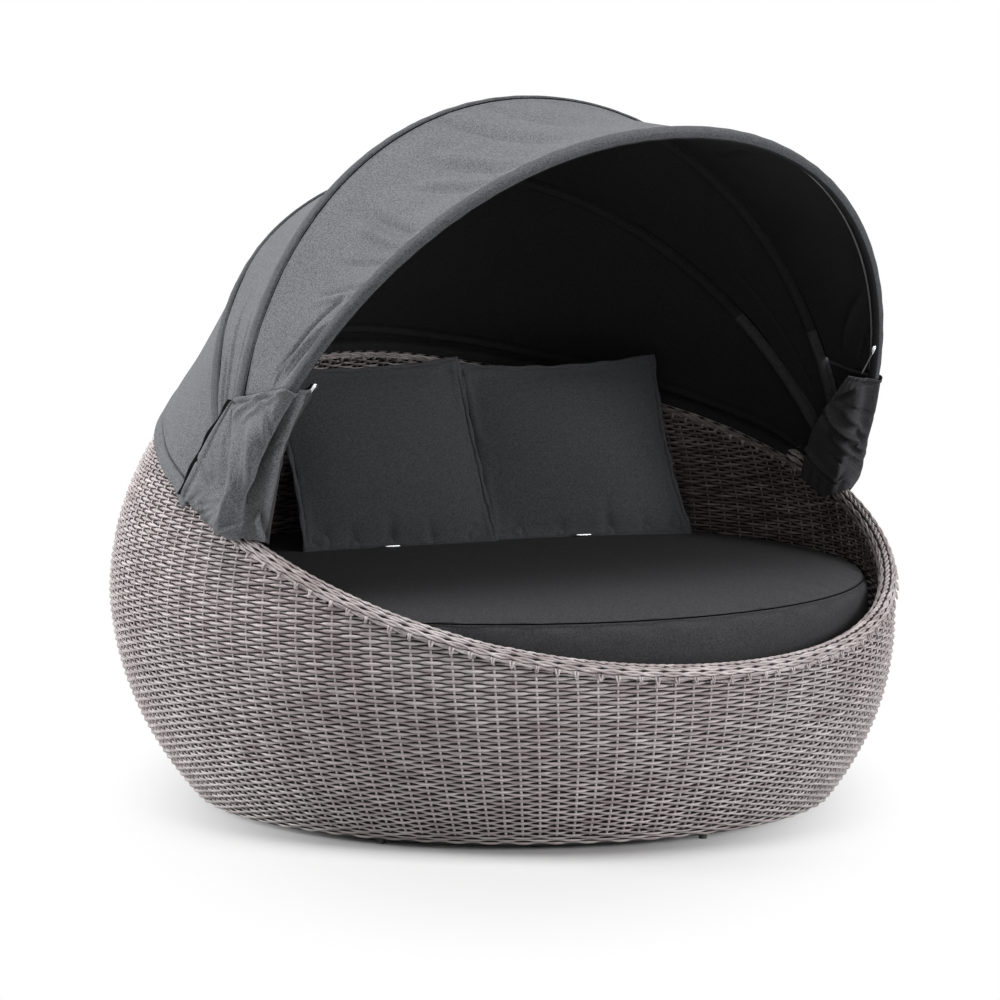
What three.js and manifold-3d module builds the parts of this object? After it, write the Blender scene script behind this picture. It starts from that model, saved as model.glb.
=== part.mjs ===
// Outdoor daybed with a folding canopy: a round woven bowl on an aluminium tube frame, a boxed
// seat cushion on slats, two scatter pillows and a fabric hood on three bows.
// Millimetres, +Z up, the open front towards -Y, the floor at z = 0.
import * as THREE from "three";
import { mergeVertices } from "three/addons/utils/BufferGeometryUtils.js";
import Module from "manifold-3d";

const wasm = await Module();
wasm.setup();

// Driving dimensions of the bowl
const BOWL_RADIUS = 875; // outside, left to right, at the widest height
const DEPTH_RATIO = 1.02; // front to back over left to right
const BOWL_CENTRE_Y = 7.4; // puts the origin midway between the front and the back
const EQUATOR_HEIGHT = 455;
const LOWER_AXIS = 735; // semi-axis of the curve below the widest height
const LOWER_POWER = 2.05;
const UPPER_AXIS = 750;
const FOOT_LEAN = 0.1; // the foot sits forward by this much of its drop below the widest height
const WALL_BOTTOM = 10;
const WALL_THICKNESS = 4;
const WALL_CORE = 16.5; // depth of the tube frame's centre behind the outer woven face
const CREST_HEIGHTS = [697.5, -280, -24.7, 0, 8.9]; // cosine terms of the crest round the bowl
const AROUND = 56; // facets round the bowl

// Driving dimensions of the frame
const RIM_TUBE_RADIUS = 11;
const BORDER_RADIUS = 22;
const BORDER_INNER = 17.2;
const BORDER_LEG = 12;
const RIB_RADIUS = 7.5;
const RIB_DEPTH = 18.5;
const RIB_COUNT = 8;
const GLIDE_HEIGHT = 8;
const GLIDE_COUNT = 6;
const SEAT_RING_RADIUS = 829;
const SEAT_RING_TUBE = 12.5;
const SEAT_RING_HEIGHT = 342;
const BEAM_OFFSET = 420;
const POST_OFFSET = 300;
const SLAT_COUNT = 10;
const SLAT_PITCH = 160;
const SLAT_WIDTH = 50;
const SLAT_THICKNESS = 15;
const GAP = 0.3; // air left between faces that touch

// Driving dimensions of the soft goods
const CUSHION_RADIUS = 818;
const CUSHION_SEAM = 492;
const CUSHION_CROWN = 524;
const PILLOW_THICKNESS = 150;
const CLOTH = 2.5;

// Driving dimensions of the canopy
const PIVOT_Y = BOWL_CENTRE_Y - 190;
const PIVOT_Z = 681;
const BOW_TUBE = 7.5;
const BOW_SLEEVE = 10; // middle of the cloth outside a bow's centre line
const BOWS = {
  rear: { halfWidth: 809, height: 845, power: 2.07, tilt: -34.5 },
  mid: { halfWidth: 825, height: 880, power: 2.03, tilt: -7.8 },
  front: { halfWidth: 841, height: 941, power: 2.09, tilt: 28.7 },
};
const BOLT_RADIUS = 5;
const EYE_RADIUS = 13.5;
const EYE_WIDTH = 15.4;
const SEAM_FRONT = 350; // height up the front bow of the seam between canopy and boot
const SEAM_MID = 292; // the same, up the mid bow
const CLOTH_START = 95; // height up the bows where the rear panels begin

const DEG = Math.PI / 180;
const lerp = THREE.MathUtils.lerp;
const smooth = THREE.MathUtils.smoothstep;
const vec = (x, y, z) => new THREE.Vector3(x, y, z);

// Materials
const look = (color, roughness, metalness = 0) =>
  new THREE.MeshStandardMaterial({ color, roughness, metalness, side: THREE.DoubleSide });
const WICKER = look(0x9c9088, 0.6);
const POWDER_COAT = look(0x4a4a4c, 0.5, 0.4);
const ALUMINIUM = look(0xb8babd, 0.4, 0.9);
const STEEL = look(0xc8cacc, 0.25, 1);
const CANOPY_CLOTH = look(0x5f6063, 0.9);
const SEAT_CLOTH = look(0x303133, 0.95);
const NYLON = look(0x1c1c1d, 0.6);
const ZIP_METAL = look(0xd6d8da, 0.2, 1);

const daybed = new THREE.Group();

function addPart(name, geometry, material) {
  const mesh = new THREE.Mesh(geometry, material.clone());
  mesh.name = name;
  daybed.add(mesh);
}

// Solids and booleans
function bare(geometry) {
  const copy = geometry.index ? geometry.toNonIndexed() : geometry.clone();
  copy.deleteAttribute("normal");
  copy.deleteAttribute("uv");
  return mergeVertices(copy, 1e-3);
}

function toSolid(geometry) {
  const merged = bare(geometry);
  const vertProperties = merged.attributes.position.array;
  const triVerts = new Uint32Array(merged.index.array);
  return new wasm.Manifold(new wasm.Mesh({ numProp: 3, vertProperties, triVerts }));
}

function toGeometry(solid) {
  const { vertProperties, triVerts } = solid.getMesh();
  const geometry = new THREE.BufferGeometry();
  geometry.setAttribute("position", new THREE.BufferAttribute(vertProperties, 3));
  geometry.setIndex(new THREE.BufferAttribute(triVerts, 1));
  geometry.computeVertexNormals();
  return geometry;
}

const cut = (geometry, ...tools) =>
  toGeometry(tools.reduce((solid, tool) => solid.subtract(toSolid(tool)), toSolid(geometry)));
const join = (geometry, ...others) =>
  toGeometry(others.reduce((solid, other) => solid.add(toSolid(other)), toSolid(geometry)));

// A closed solid from points and faces, turned so that its faces point out.
function solidFrom(points, faces) {
  let sixVolumes = 0;
  for (const [a, b, c] of faces) {
    sixVolumes += points[a].dot(vec(0, 0, 0).crossVectors(points[b], points[c]));
  }
  const turned = sixVolumes < 0 ? faces.map(([a, b, c]) => [a, c, b]) : faces;
  const geometry = new THREE.BufferGeometry().setFromPoints(points);
  geometry.setIndex(turned.flat());
  geometry.computeVertexNormals();
  return geometry;
}

// Two faces for the quad a, b, c, d.
const quad = (a, b, c, d) => [
  [a, b, c],
  [a, c, d],
];

// A thin shell between two grids of points, closed along its edges. Where loop is true, the
// first and last columns are neighbours.
function shell(outer, inner, loop = false) {
  const columns = outer.length;
  const rows = outer[0].length;
  const points = [...outer.flat(), ...inner.flat()];
  const out = (i, j) => (i % columns) * rows + j;
  const back = (i, j) => columns * rows + out(i, j);
  const faces = [];
  const last = loop ? columns : columns - 1;
  for (let i = 0; i < last; i++) {
    for (let j = 0; j < rows - 1; j++) {
      faces.push(...quad(out(i, j), out(i + 1, j), out(i + 1, j + 1), out(i, j + 1)));
      faces.push(...quad(back(i, j), back(i, j + 1), back(i + 1, j + 1), back(i + 1, j)));
    }
    faces.push(...quad(out(i + 1, 0), out(i, 0), back(i, 0), back(i + 1, 0)));
    const top = rows - 1;
    faces.push(...quad(out(i, top), out(i + 1, top), back(i + 1, top), back(i, top)));
  }
  if (!loop) {
    for (let j = 0; j < rows - 1; j++) {
      faces.push(...quad(out(0, j), out(0, j + 1), back(0, j + 1), back(0, j)));
      faces.push(...quad(out(last, j + 1), out(last, j), back(last, j), back(last, j + 1)));
    }
  }
  return solidFrom(points, faces);
}

// A sheet of cloth of an even thickness either side of a grid of points.
function cloth(grid) {
  const normals = grid.map((column, i) =>
    column.map((point, j) => {
      const along = grid[Math.min(i + 1, grid.length - 1)][j].clone();
      along.sub(grid[Math.max(i - 1, 0)][j]);
      const across = column[Math.min(j + 1, column.length - 1)].clone();
      across.sub(column[Math.max(j - 1, 0)]);
      return along.cross(across).setLength(CLOTH / 2);
    }),
  );
  const offset = (side) =>
    grid.map((column, i) => column.map((p, j) => p.clone().addScaledVector(normals[i][j], side)));
  return shell(offset(1), offset(-1));
}

// A section carried round a closed loop of stations.
function loopSweep(stations) {
  const rows = stations[0].length;
  const points = stations.flat();
  const at = (i, j) => (i % stations.length) * rows + (j % rows);
  const faces = [];
  stations.forEach((_, i) => {
    for (let j = 0; j < rows; j++) {
      faces.push(...quad(at(i, j), at(i, j + 1), at(i + 1, j + 1), at(i + 1, j)));
    }
  });
  return solidFrom(points, faces);
}

function circleShape(radius, sides) {
  const corners = Array.from({ length: sides }, (_, i) => {
    const angle = (2 * Math.PI * i) / sides;
    return new THREE.Vector2(radius * Math.cos(angle), radius * Math.sin(angle));
  });
  return new THREE.Shape(corners);
}

// A round bar or tube along an open curve.
const barAlong = (curve, radius, sides, steps) =>
  new THREE.ExtrudeGeometry(circleShape(radius, sides), {
    steps,
    bevelEnabled: false,
    extrudePath: curve,
  });

// A rectangular tube from one point, along X, Y or Z, with its wall thickness.
function boxTube(axis, length, wide, high, wall = 2) {
  const rectangle = (w, h) => [
    new THREE.Vector2(-w / 2, -h / 2),
    new THREE.Vector2(w / 2, -h / 2),
    new THREE.Vector2(w / 2, h / 2),
    new THREE.Vector2(-w / 2, h / 2),
  ];
  const shape = new THREE.Shape(rectangle(wide, high));
  shape.holes.push(new THREE.Path(rectangle(wide - 2 * wall, high - 2 * wall)));
  const geometry = new THREE.ExtrudeGeometry(shape, { depth: length, bevelEnabled: false });
  geometry.translate(0, 0, -length / 2);
  if (axis === "x") geometry.rotateX(Math.PI / 2).rotateZ(Math.PI / 2);
  if (axis === "y") geometry.rotateX(Math.PI / 2);
  return geometry;
}

const cylinderX = (radius, length, sides, x) =>
  new THREE.CylinderGeometry(radius, radius, length, sides)
    .rotateZ(Math.PI / 2)
    .translate(x, PIVOT_Y, PIVOT_Z);

// The bowl's outer surface. Angles run from the front towards +X.
function outsideRadius(z) {
  const lower = z < EQUATOR_HEIGHT;
  const power = lower ? LOWER_POWER : 2;
  const reach = Math.abs(z - EQUATOR_HEIGHT) / (lower ? LOWER_AXIS : UPPER_AXIS);
  return BOWL_RADIUS * (1 - reach ** power) ** (1 / power);
}

const leanAt = (z) => BOWL_CENTRE_Y + FOOT_LEAN * Math.min(z - EQUATOR_HEIGHT, 0);

function outsidePoint(angle, z) {
  const radius = outsideRadius(z);
  return vec(radius * Math.sin(angle), leanAt(z) - DEPTH_RATIO * radius * Math.cos(angle), z);
}

function outsideNormal(angle, z) {
  const step = 0.01;
  const round = outsidePoint(angle + step, z).sub(outsidePoint(angle - step, z));
  const up = outsidePoint(angle, z + 1).sub(outsidePoint(angle, z - 1));
  return round.cross(up).normalize();
}

// A point at a depth behind the outer face, square to it.
const wallPoint = (angle, z, depth) =>
  outsidePoint(angle, z).addScaledVector(outsideNormal(angle, z), -depth);

const crestHeight = (angle) =>
  CREST_HEIGHTS.reduce((sum, term, order) => sum + term * Math.cos(order * angle), 0);

// The rim tube's centre lies under the crest, on the frame's own surface between the two walls.
function rimHeight(angle) {
  const crest = crestHeight(angle);
  const normal = outsideNormal(angle, crest);
  return crest - BORDER_RADIUS * Math.hypot(normal.x, normal.y) + WALL_CORE * normal.z;
}

const rimCentre = (angle) => wallPoint(angle, rimHeight(angle), WALL_CORE);

function rimFrame(angle) {
  const step = 0.01;
  const centre = rimCentre(angle);
  const along = rimCentre(angle + step).sub(rimCentre(angle - step)).normalize();
  const out = outsideNormal(angle, rimHeight(angle));
  out.addScaledVector(along, -out.dot(along)).normalize();
  const up = out.clone().cross(along);
  return { centre, out, up };
}

const rimPoint = ({ centre, out, up }, outwards, upwards) =>
  centre.clone().addScaledVector(out, outwards).addScaledVector(up, upwards);

const ringAngles = Array.from({ length: AROUND }, (_, i) => (2 * Math.PI * i) / AROUND);
const rimFrames = ringAngles.map(rimFrame);

function rimTube(radius) {
  const corners = circleShape(radius, 6).getPoints();
  return loopSweep(rimFrames.map((frame) => corners.map((c) => rimPoint(frame, c.x, c.y))));
}

// The braided border is an upside-down U over the rim tube and the tops of both walls.
function rimBorder() {
  const arc = (radius, steps) =>
    Array.from({ length: steps + 1 }, (_, i) => {
      const turn = (Math.PI * i) / steps;
      return [radius * Math.cos(turn), radius * Math.sin(turn)];
    });
  const section = [
    [BORDER_RADIUS, -BORDER_LEG],
    ...arc(BORDER_RADIUS, 5),
    [-BORDER_RADIUS, -BORDER_LEG],
    [-BORDER_INNER, -BORDER_LEG],
    ...arc(BORDER_INNER, 5).reverse(),
    [BORDER_INNER, -BORDER_LEG],
  ];
  return loopSweep(rimFrames.map((frame) => section.map(([x, y]) => rimPoint(frame, x, y))));
}

// A woven wall between two depths behind the outer face, from a height up into the border. Its
// last row is short, so that it stands clear of the border's legs.
function wovenWall(outerDepth, innerDepth, bottom, rows) {
  const face = (depth) =>
    ringAngles.map((angle) => {
      const top = rimHeight(angle) - 3;
      const column = Array.from({ length: rows + 1 }, (_, j) =>
        wallPoint(angle, lerp(bottom, top - BORDER_LEG, j / rows), depth),
      );
      column.push(wallPoint(angle, top, depth));
      return column;
    });
  return shell(face(outerDepth), face(innerDepth), true);
}

class RibCurve extends THREE.Curve {
  constructor(angle, bottom) {
    super();
    this.angle = angle;
    this.bottom = bottom;
  }
  getPoint(t) {
    return wallPoint(this.angle, lerp(this.bottom, rimHeight(this.angle), t), RIB_DEPTH);
  }
}

class BowCurve extends THREE.Curve {
  constructor(bow) {
    super();
    this.bow = bow;
  }
  getPoint(t) {
    return bowPoint(this.bow, Math.PI * t);
  }
}

// A point on a bow: turn 0 is its right foot, 180 degrees its left foot.
function bowPoint({ halfWidth, height, power, tilt }, turn, outwards = 0) {
  const across = Math.cos(turn);
  const width = (halfWidth + outwards) * Math.sign(across) * Math.abs(across) ** (2 / power);
  const rise = (height + outwards) * Math.abs(Math.sin(turn)) ** (2 / power);
  const lean = tilt * DEG;
  return vec(width, PIVOT_Y - rise * Math.sin(lean), PIVOT_Z + rise * Math.cos(lean));
}

// The turn at which a bow has risen by a height above its pivot.
const turnAt = ({ height, power }, rise) => Math.asin((rise / height) ** (power / 2));

// The tube frame
const baseHeight = GLIDE_HEIGHT + RIM_TUBE_RADIUS;
const baseNormal = outsideNormal(Math.PI / 2, baseHeight);
const baseRadius = outsideRadius(baseHeight) - WALL_CORE / Math.hypot(baseNormal.x, baseNormal.y);

function flatRing(radius, tube, height, sides) {
  return new THREE.TorusGeometry(radius, tube, sides, AROUND)
    .scale(1, DEPTH_RATIO, 1)
    .translate(0, leanAt(height), height);
}

const baseRing = (grow = 0) => flatRing(baseRadius, RIM_TUBE_RADIUS + grow, baseHeight, 8);
const seatRing = (grow = 0) =>
  flatRing(SEAT_RING_RADIUS, SEAT_RING_TUBE + grow, SEAT_RING_HEIGHT, 8);
const seatCentreY = leanAt(SEAT_RING_HEIGHT);
const baseCentreY = leanAt(baseHeight);

function buildFrame() {
  addPart("base_ring", baseRing(), POWDER_COAT);
  addPart("seat_ring", seatRing(), POWDER_COAT);
  addPart("rim_tube", rimTube(RIM_TUBE_RADIUS), POWDER_COAT);
  const joints = [baseRing(GAP), seatRing(GAP), rimTube(RIM_TUBE_RADIUS + GAP)];
  for (let i = 0; i < RIB_COUNT; i++) {
    const angle = (2 * Math.PI * (i + 0.5)) / RIB_COUNT;
    const rib = barAlong(new RibCurve(angle, baseHeight), RIB_RADIUS, 8, 8);
    addPart(`frame_rib_0${i + 1}`, cut(rib, ...joints), POWDER_COAT);
  }
}

// Beams run front to back inside the seat ring, on posts that stand on two bars.
function buildSeatSupport() {
  const beamHigh = 40;
  const beamWide = 30;
  const beamTop = SEAT_RING_HEIGHT + SEAT_RING_TUBE;
  const beamZ = beamTop - beamHigh / 2;
  const ring = seatRing(GAP);
  [-BEAM_OFFSET, 0, BEAM_OFFSET].forEach((x, i) => {
    const farSide = Math.abs(x) + beamWide / 2;
    const reach = DEPTH_RATIO * Math.sqrt(SEAT_RING_RADIUS ** 2 - farSide ** 2) - 6;
    const beam = boxTube("y", 2 * reach, beamWide, beamHigh).translate(x, seatCentreY, beamZ);
    addPart(`seat_beam_${["left", "centre", "right"][i]}`, cut(beam, ring), POWDER_COAT);
  });
  const barHigh = 20;
  const barBottom = GLIDE_HEIGHT + 1;
  const foot = baseRing(GAP);
  const postBottom = barBottom + barHigh + GAP;
  const postTop = beamTop - beamHigh - GAP;
  [-POST_OFFSET, POST_OFFSET].forEach((y, row) => {
    const end = row ? "rear" : "front";
    const farSide = (Math.abs(y) + beamWide / 2) / DEPTH_RATIO;
    const reach = Math.sqrt(baseRadius ** 2 - farSide ** 2) - 6;
    const bar = boxTube("x", 2 * reach, beamWide, barHigh);
    bar.translate(0, baseCentreY + y, barBottom + barHigh / 2);
    addPart(`base_bar_${end}`, cut(bar, foot), POWDER_COAT);
    [-BEAM_OFFSET, BEAM_OFFSET].forEach((x, side) => {
      const post = boxTube("z", postTop - postBottom, beamWide, beamWide);
      post.translate(x, baseCentreY + y, (postTop + postBottom) / 2);
      addPart(`seat_post_${end}_${side ? "right" : "left"}`, post, POWDER_COAT);
    });
  });
}

function buildSlats() {
  const bottom = SEAT_RING_HEIGHT + SEAT_RING_TUBE + GAP;
  for (let i = 0; i < SLAT_COUNT; i++) {
    const offset = (i - (SLAT_COUNT - 1) / 2) * SLAT_PITCH;
    const farEdge = (Math.abs(offset) + SLAT_WIDTH / 2) / DEPTH_RATIO;
    const reach = Math.sqrt(SEAT_RING_RADIUS ** 2 - farEdge ** 2) + 4;
    const slat = boxTube("x", 2 * reach, SLAT_WIDTH, SLAT_THICKNESS, 1.5);
    slat.translate(0, seatCentreY + offset, bottom + SLAT_THICKNESS / 2);
    addPart(`seat_slat_${String(i + 1).padStart(2, "0")}`, slat, ALUMINIUM);
  }
}

// Six nylon glides: a round foot whose top is hollowed to the base ring.
function buildGlides() {
  const ring = baseRing(GAP);
  const profile = [
    new THREE.Vector2(0, 0),
    new THREE.Vector2(8, 0),
    new THREE.Vector2(9, 1),
    new THREE.Vector2(9, GLIDE_HEIGHT + 3),
    new THREE.Vector2(0, GLIDE_HEIGHT + 3),
  ];
  for (let i = 0; i < GLIDE_COUNT; i++) {
    const angle = (2 * Math.PI * i) / GLIDE_COUNT;
    const radius = baseRadius - 3;
    const x = radius * Math.sin(angle);
    const y = baseCentreY - DEPTH_RATIO * radius * Math.cos(angle);
    const foot = new THREE.LatheGeometry(profile, 16).rotateX(Math.PI / 2).translate(x, y, 0);
    addPart(`glide_0${i + 1}`, cut(foot, ring), NYLON);
  }
}

// The canopy pivots: a plate welded on the rim tube, a bolt through three bow eyes, a washer
// and a domed nut. The plate comes up through a slot in the border.
const eyeInside = BOWS.rear.halfWidth - EYE_WIDTH / 2;
const eyeOutside = BOWS.front.halfWidth + EYE_WIDTH / 2;
const plateCentre = eyeInside - 3.6;

function bracketPlate(side, grow = 0) {
  const half = 22 + grow;
  const outline = new THREE.Shape();
  outline.moveTo(-half, -50);
  outline.lineTo(half, -36);
  outline.lineTo(half, -18);
  outline.lineTo(17 + grow, 0);
  outline.absarc(0, 0, 17 + grow, 0, Math.PI);
  outline.lineTo(-half, -18);
  const thickness = 6 + 2 * grow;
  return new THREE.ExtrudeGeometry(outline, {
    depth: thickness,
    bevelEnabled: false,
    curveSegments: 6,
  })
    .translate(0, 0, -thickness / 2)
    .rotateX(Math.PI / 2)
    .rotateZ(Math.PI / 2)
    .translate(side * plateCentre, PIVOT_Y, PIVOT_Z);
}

const mirrored = (geometry) => bare(geometry).rotateZ(Math.PI).translate(0, 2 * PIVOT_Y, 0);

function buildPivots() {
  const rim = rimTube(RIM_TUBE_RADIUS + GAP);
  const headLength = 7;
  const headX = plateCentre - 3 - GAP - headLength / 2;
  const boltEnd = eyeOutside + 12.5;
  const shankStart = plateCentre - 5;
  const shankLength = boltEnd - shankStart;
  const shank = cylinderX(BOLT_RADIUS, shankLength, 16, shankStart + shankLength / 2);
  const bolt = join(cylinderX(9, headLength, 6, headX), shank);
  const washerX = eyeOutside + GAP + 1;
  const nutX = washerX + 1 + GAP + 4;
  const hole = cylinderX(BOLT_RADIUS + GAP, 60, 16, nutX);
  const pieces = {
    pivot_bolt: [bolt, STEEL],
    pivot_washer: [cut(cylinderX(12, 2, 16, washerX), hole), STEEL],
    pivot_nut: [cut(cylinderX(9.8, 8, 6, nutX), hole), STEEL],
  };
  for (const side of [1, -1]) {
    const boltHole = cylinderX(BOLT_RADIUS + GAP, 60, 16, side * plateCentre);
    const bracket = cut(bracketPlate(side), rim, boltHole);
    addPart(`pivot_bracket_${side > 0 ? "right" : "left"}`, bracket, POWDER_COAT);
  }
  for (const [name, [geometry, material]] of Object.entries(pieces)) {
    addPart(`${name}_right`, geometry, material);
    addPart(`${name}_left`, mirrored(geometry), material);
  }
}

// Each bow is a bent tube with a drilled eye moulded on each end.
function buildBow(name, bow) {
  const footX = bow.halfWidth;
  const eye = cylinderX(EYE_RADIUS, EYE_WIDTH, 20, footX);
  const hole = cylinderX(BOLT_RADIUS + GAP, EYE_WIDTH + 10, 16, footX);
  const tube = barAlong(new BowCurve(bow), BOW_TUBE, 8, 36);
  const whole = join(tube, eye, mirrored(eye));
  addPart(`bow_${name}`, cut(whole, hole, mirrored(hole)), ALUMINIUM);
}

// The woven bowl
function buildBowl() {
  addPart("outer_wicker_wall", wovenWall(0, WALL_THICKNESS, WALL_BOTTOM, 7), WICKER);
  const innerDepth = 2 * WALL_CORE;
  const deck = SEAT_RING_HEIGHT + SEAT_RING_TUBE + GAP + SLAT_THICKNESS + 2;
  const inner = wovenWall(innerDepth - WALL_THICKNESS, innerDepth, deck, 4);
  addPart("inner_wicker_wall", inner, WICKER);
  const slots = [bracketPlate(1, GAP), bracketPlate(-1, GAP)];
  addPart("rim_border", cut(rimBorder(), ...slots), WICKER);
}

// The seat cushion: a boxed round pad with a crowned top and sides drawn in between two seams.
function buildCushion() {
  const bottom = SEAT_RING_HEIGHT + SEAT_RING_TUBE + SLAT_THICKNESS + 2 * GAP;
  const top = (part) => {
    const rise = (CUSHION_CROWN - CUSHION_SEAM) * (1 - part ** 4) ** 0.8;
    return new THREE.Vector2(CUSHION_RADIUS * part, CUSHION_SEAM + rise);
  };
  const profile = [
    new THREE.Vector2(0, bottom),
    new THREE.Vector2(CUSHION_RADIUS - 24, bottom),
    new THREE.Vector2(CUSHION_RADIUS, bottom + 12),
    new THREE.Vector2(CUSHION_RADIUS - 6, (bottom + CUSHION_SEAM) / 2),
    ...[1, 0.985, 0.95, 0.88, 0.76, 0.58, 0.34, 0].map(top),
  ];
  const pad = new THREE.LatheGeometry(profile, 48).rotateX(Math.PI / 2);
  addPart("seat_cushion", pad.translate(0, BOWL_CENTRE_Y, 0), SEAT_CLOTH);
}

// A knife-edge pillow over four corners, its sides pulled in between them.
function pillow([bottomLeft, bottomRight, topRight, topLeft]) {
  const steps = 12;
  const pull = 16;
  const facing = topRight.clone().sub(bottomLeft).cross(topLeft.clone().sub(bottomRight));
  facing.setLength(-PILLOW_THICKNESS / 2);
  const point = (i, j, side) => {
    const u = i / steps;
    const v = j / steps;
    const low = bottomLeft.clone().lerp(bottomRight, u);
    const high = topLeft.clone().lerp(topRight, u);
    const middle = low.clone().lerp(high, v);
    const across = bottomRight.clone().sub(bottomLeft).normalize();
    const upwards = topLeft.clone().sub(bottomLeft).normalize();
    middle.addScaledVector(across, pull * (1 - 2 * u) * 4 * v * (1 - v));
    middle.addScaledVector(upwards, pull * 4 * u * (1 - u) * v * (1 - 2 * v));
    const plump = (16 * u * (1 - u) * v * (1 - v)) ** 0.5;
    return middle.addScaledVector(facing, side * plump);
  };
  const points = [];
  const faces = [];
  for (const side of [1, -1]) {
    const base = points.length;
    for (let i = 0; i <= steps; i++) {
      for (let j = 0; j <= steps; j++) points.push(point(i, j, side));
    }
    const at = (i, j) => base + i * (steps + 1) + j;
    for (let i = 0; i < steps; i++) {
      for (let j = 0; j < steps; j++) {
        const corners = [at(i, j), at(i + 1, j), at(i + 1, j + 1), at(i, j + 1)];
        faces.push(...quad(...(side > 0 ? corners : corners.reverse())));
      }
    }
  }
  return solidFrom(points, faces);
}

// Corners from the bottom left, anticlockwise as seen from the front.
const PILLOWS = {
  pillow_left: [vec(-318, 332, 524), vec(146, 219, 524), vec(100, 322, 952), vec(-369, 426, 947)],
  pillow_right: [vec(149, 243, 526), vec(628, 122, 522), vec(600, 235, 937), vec(132, 349, 931)],
};

// The canopy: cloth stretched from bow to bow, sagging a little between them.
function panelColumn(from, to, sagRatio, rows) {
  const sag = sagRatio * from.distanceTo(to);
  const middle = vec(0, PIVOT_Y, PIVOT_Z);
  return Array.from({ length: rows + 1 }, (_, j) => {
    const v = j / rows;
    const point = from.clone().lerp(to, v);
    const inwards = middle.clone().sub(point).setX(-point.x * 0.4).normalize();
    return point.addScaledVector(inwards, sag * 4 * v * (1 - v));
  });
}

// Moves the edge of a panel off a bow's own plane, towards the panel.
function besideBow({ tilt }, point, distance) {
  const lean = tilt * DEG;
  return point.add(vec(0, distance * Math.cos(lean), distance * Math.sin(lean)));
}

function bowEdge(bow, rise, u, distance) {
  const start = turnAt(bow, rise);
  const turn = lerp(start, Math.PI - start, u);
  return besideBow(bow, bowPoint(bow, turn, BOW_SLEEVE), distance);
}

function bowPanel(back, backRise, front, frontRise, sag) {
  const columns = 28;
  const grid = Array.from({ length: columns + 1 }, (_, i) => {
    const u = i / columns;
    const from = bowEdge(back, backRise, u, -0.8);
    const to = bowEdge(front, frontRise, u, 0.8);
    return panelColumn(from, to, sag, 5);
  });
  return cloth(grid);
}

// The rear panel ends in a hem that hangs over the border's outer side.
function rearPanel() {
  const columns = 28;
  const firstAngle = 93 * DEG;
  const grid = Array.from({ length: columns + 1 }, (_, i) => {
    const u = i / columns;
    const frame = rimFrame(lerp(firstAngle, 2 * Math.PI - firstAngle, u));
    const from = bowEdge(BOWS.rear, CLOTH_START, u, 0.8);
    const to = rimPoint(frame, BORDER_RADIUS + 5, 2);
    const column = panelColumn(from, to, 0.015, 5);
    column.push(rimPoint(frame, BORDER_RADIUS + 4, -BORDER_LEG));
    return column;
  });
  return cloth(grid);
}

// Half the width of a bow at a height above its pivot.
const widthAt = ({ halfWidth, height, power }, rise) =>
  halfWidth * (1 - Math.min(rise / height, 1) ** power) ** (1 / power);

// A boot carries the cloth on from the canopy's side seam down over the pivot and on to the rim.
function boot(side) {
  const columns = 12;
  const rows = 11;
  const { front, mid } = BOWS;
  const hemFront = 70.5 * DEG;
  const hemRear = 93 * DEG;
  const seamFront = bowPoint(front, turnAt(front, SEAM_FRONT - 4), BOW_SLEEVE);
  const seamRear = bowPoint(mid, turnAt(mid, SEAM_MID - 4), BOW_SLEEVE);
  const grid = Array.from({ length: columns + 1 }, (_, i) => {
    const u = i / columns;
    const low = rimPoint(rimFrame(lerp(hemFront, hemRear, u)), BORDER_RADIUS + 10, -2);
    const high = seamFront.clone().lerp(seamRear, u);
    const lap = 7 * smooth(u, 0.7, 1);
    return Array.from({ length: rows + 1 }, (_, j) => {
      const v = j / rows;
      const point = high.clone().lerp(low, v);
      const rise = Math.hypot(point.y - PIVOT_Y, point.z - PIVOT_Z);
      const lean = Math.atan2(PIVOT_Y - point.y, point.z - PIVOT_Z) / DEG;
      const part = THREE.MathUtils.clamp((lean - mid.tilt) / (front.tilt - mid.tilt), 0, 1);
      const leg = lerp(widthAt(mid, rise), widthAt(front, rise), part);
      const lift = 4 + 8 * smooth(u, 0.55, 0.9) + 3 * Math.cos(2 * Math.PI * (3.5 * u + 0.45));
      const hang = leg + BOW_SLEEVE + Math.max(lift * smooth(v, 0, 0.3), lap);
      const drawn = lerp(hang, low.x, smooth(v, 0.84, 1));
      const overBolt = 867 - (rise / 27) ** 2;
      point.x = lerp(high.x + lap, Math.max(drawn, overBolt), smooth(v, 0, 0.1));
      return point.multiply(vec(side, 1, 1));
    });
  });
  return cloth(grid);
}

// A zip slider with its pull hangs on each front corner of the canopy, just above the boot.
function zipSlider(side) {
  const { front } = BOWS;
  const place = bowPoint(front, turnAt(front, SEAM_FRONT + 18), 0);
  const ahead = -(BOW_TUBE + GAP + 3);
  const slider = new THREE.BoxGeometry(7, 5, 12);
  const pull = new THREE.BoxGeometry(4, 1.6, 26).translate(0, -2.6, -14);
  const whole = join(slider, pull);
  whole.rotateX(front.tilt * DEG);
  const point = besideBow(front, place, ahead);
  return whole.translate(side * point.x, point.y, point.z);
}

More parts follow.
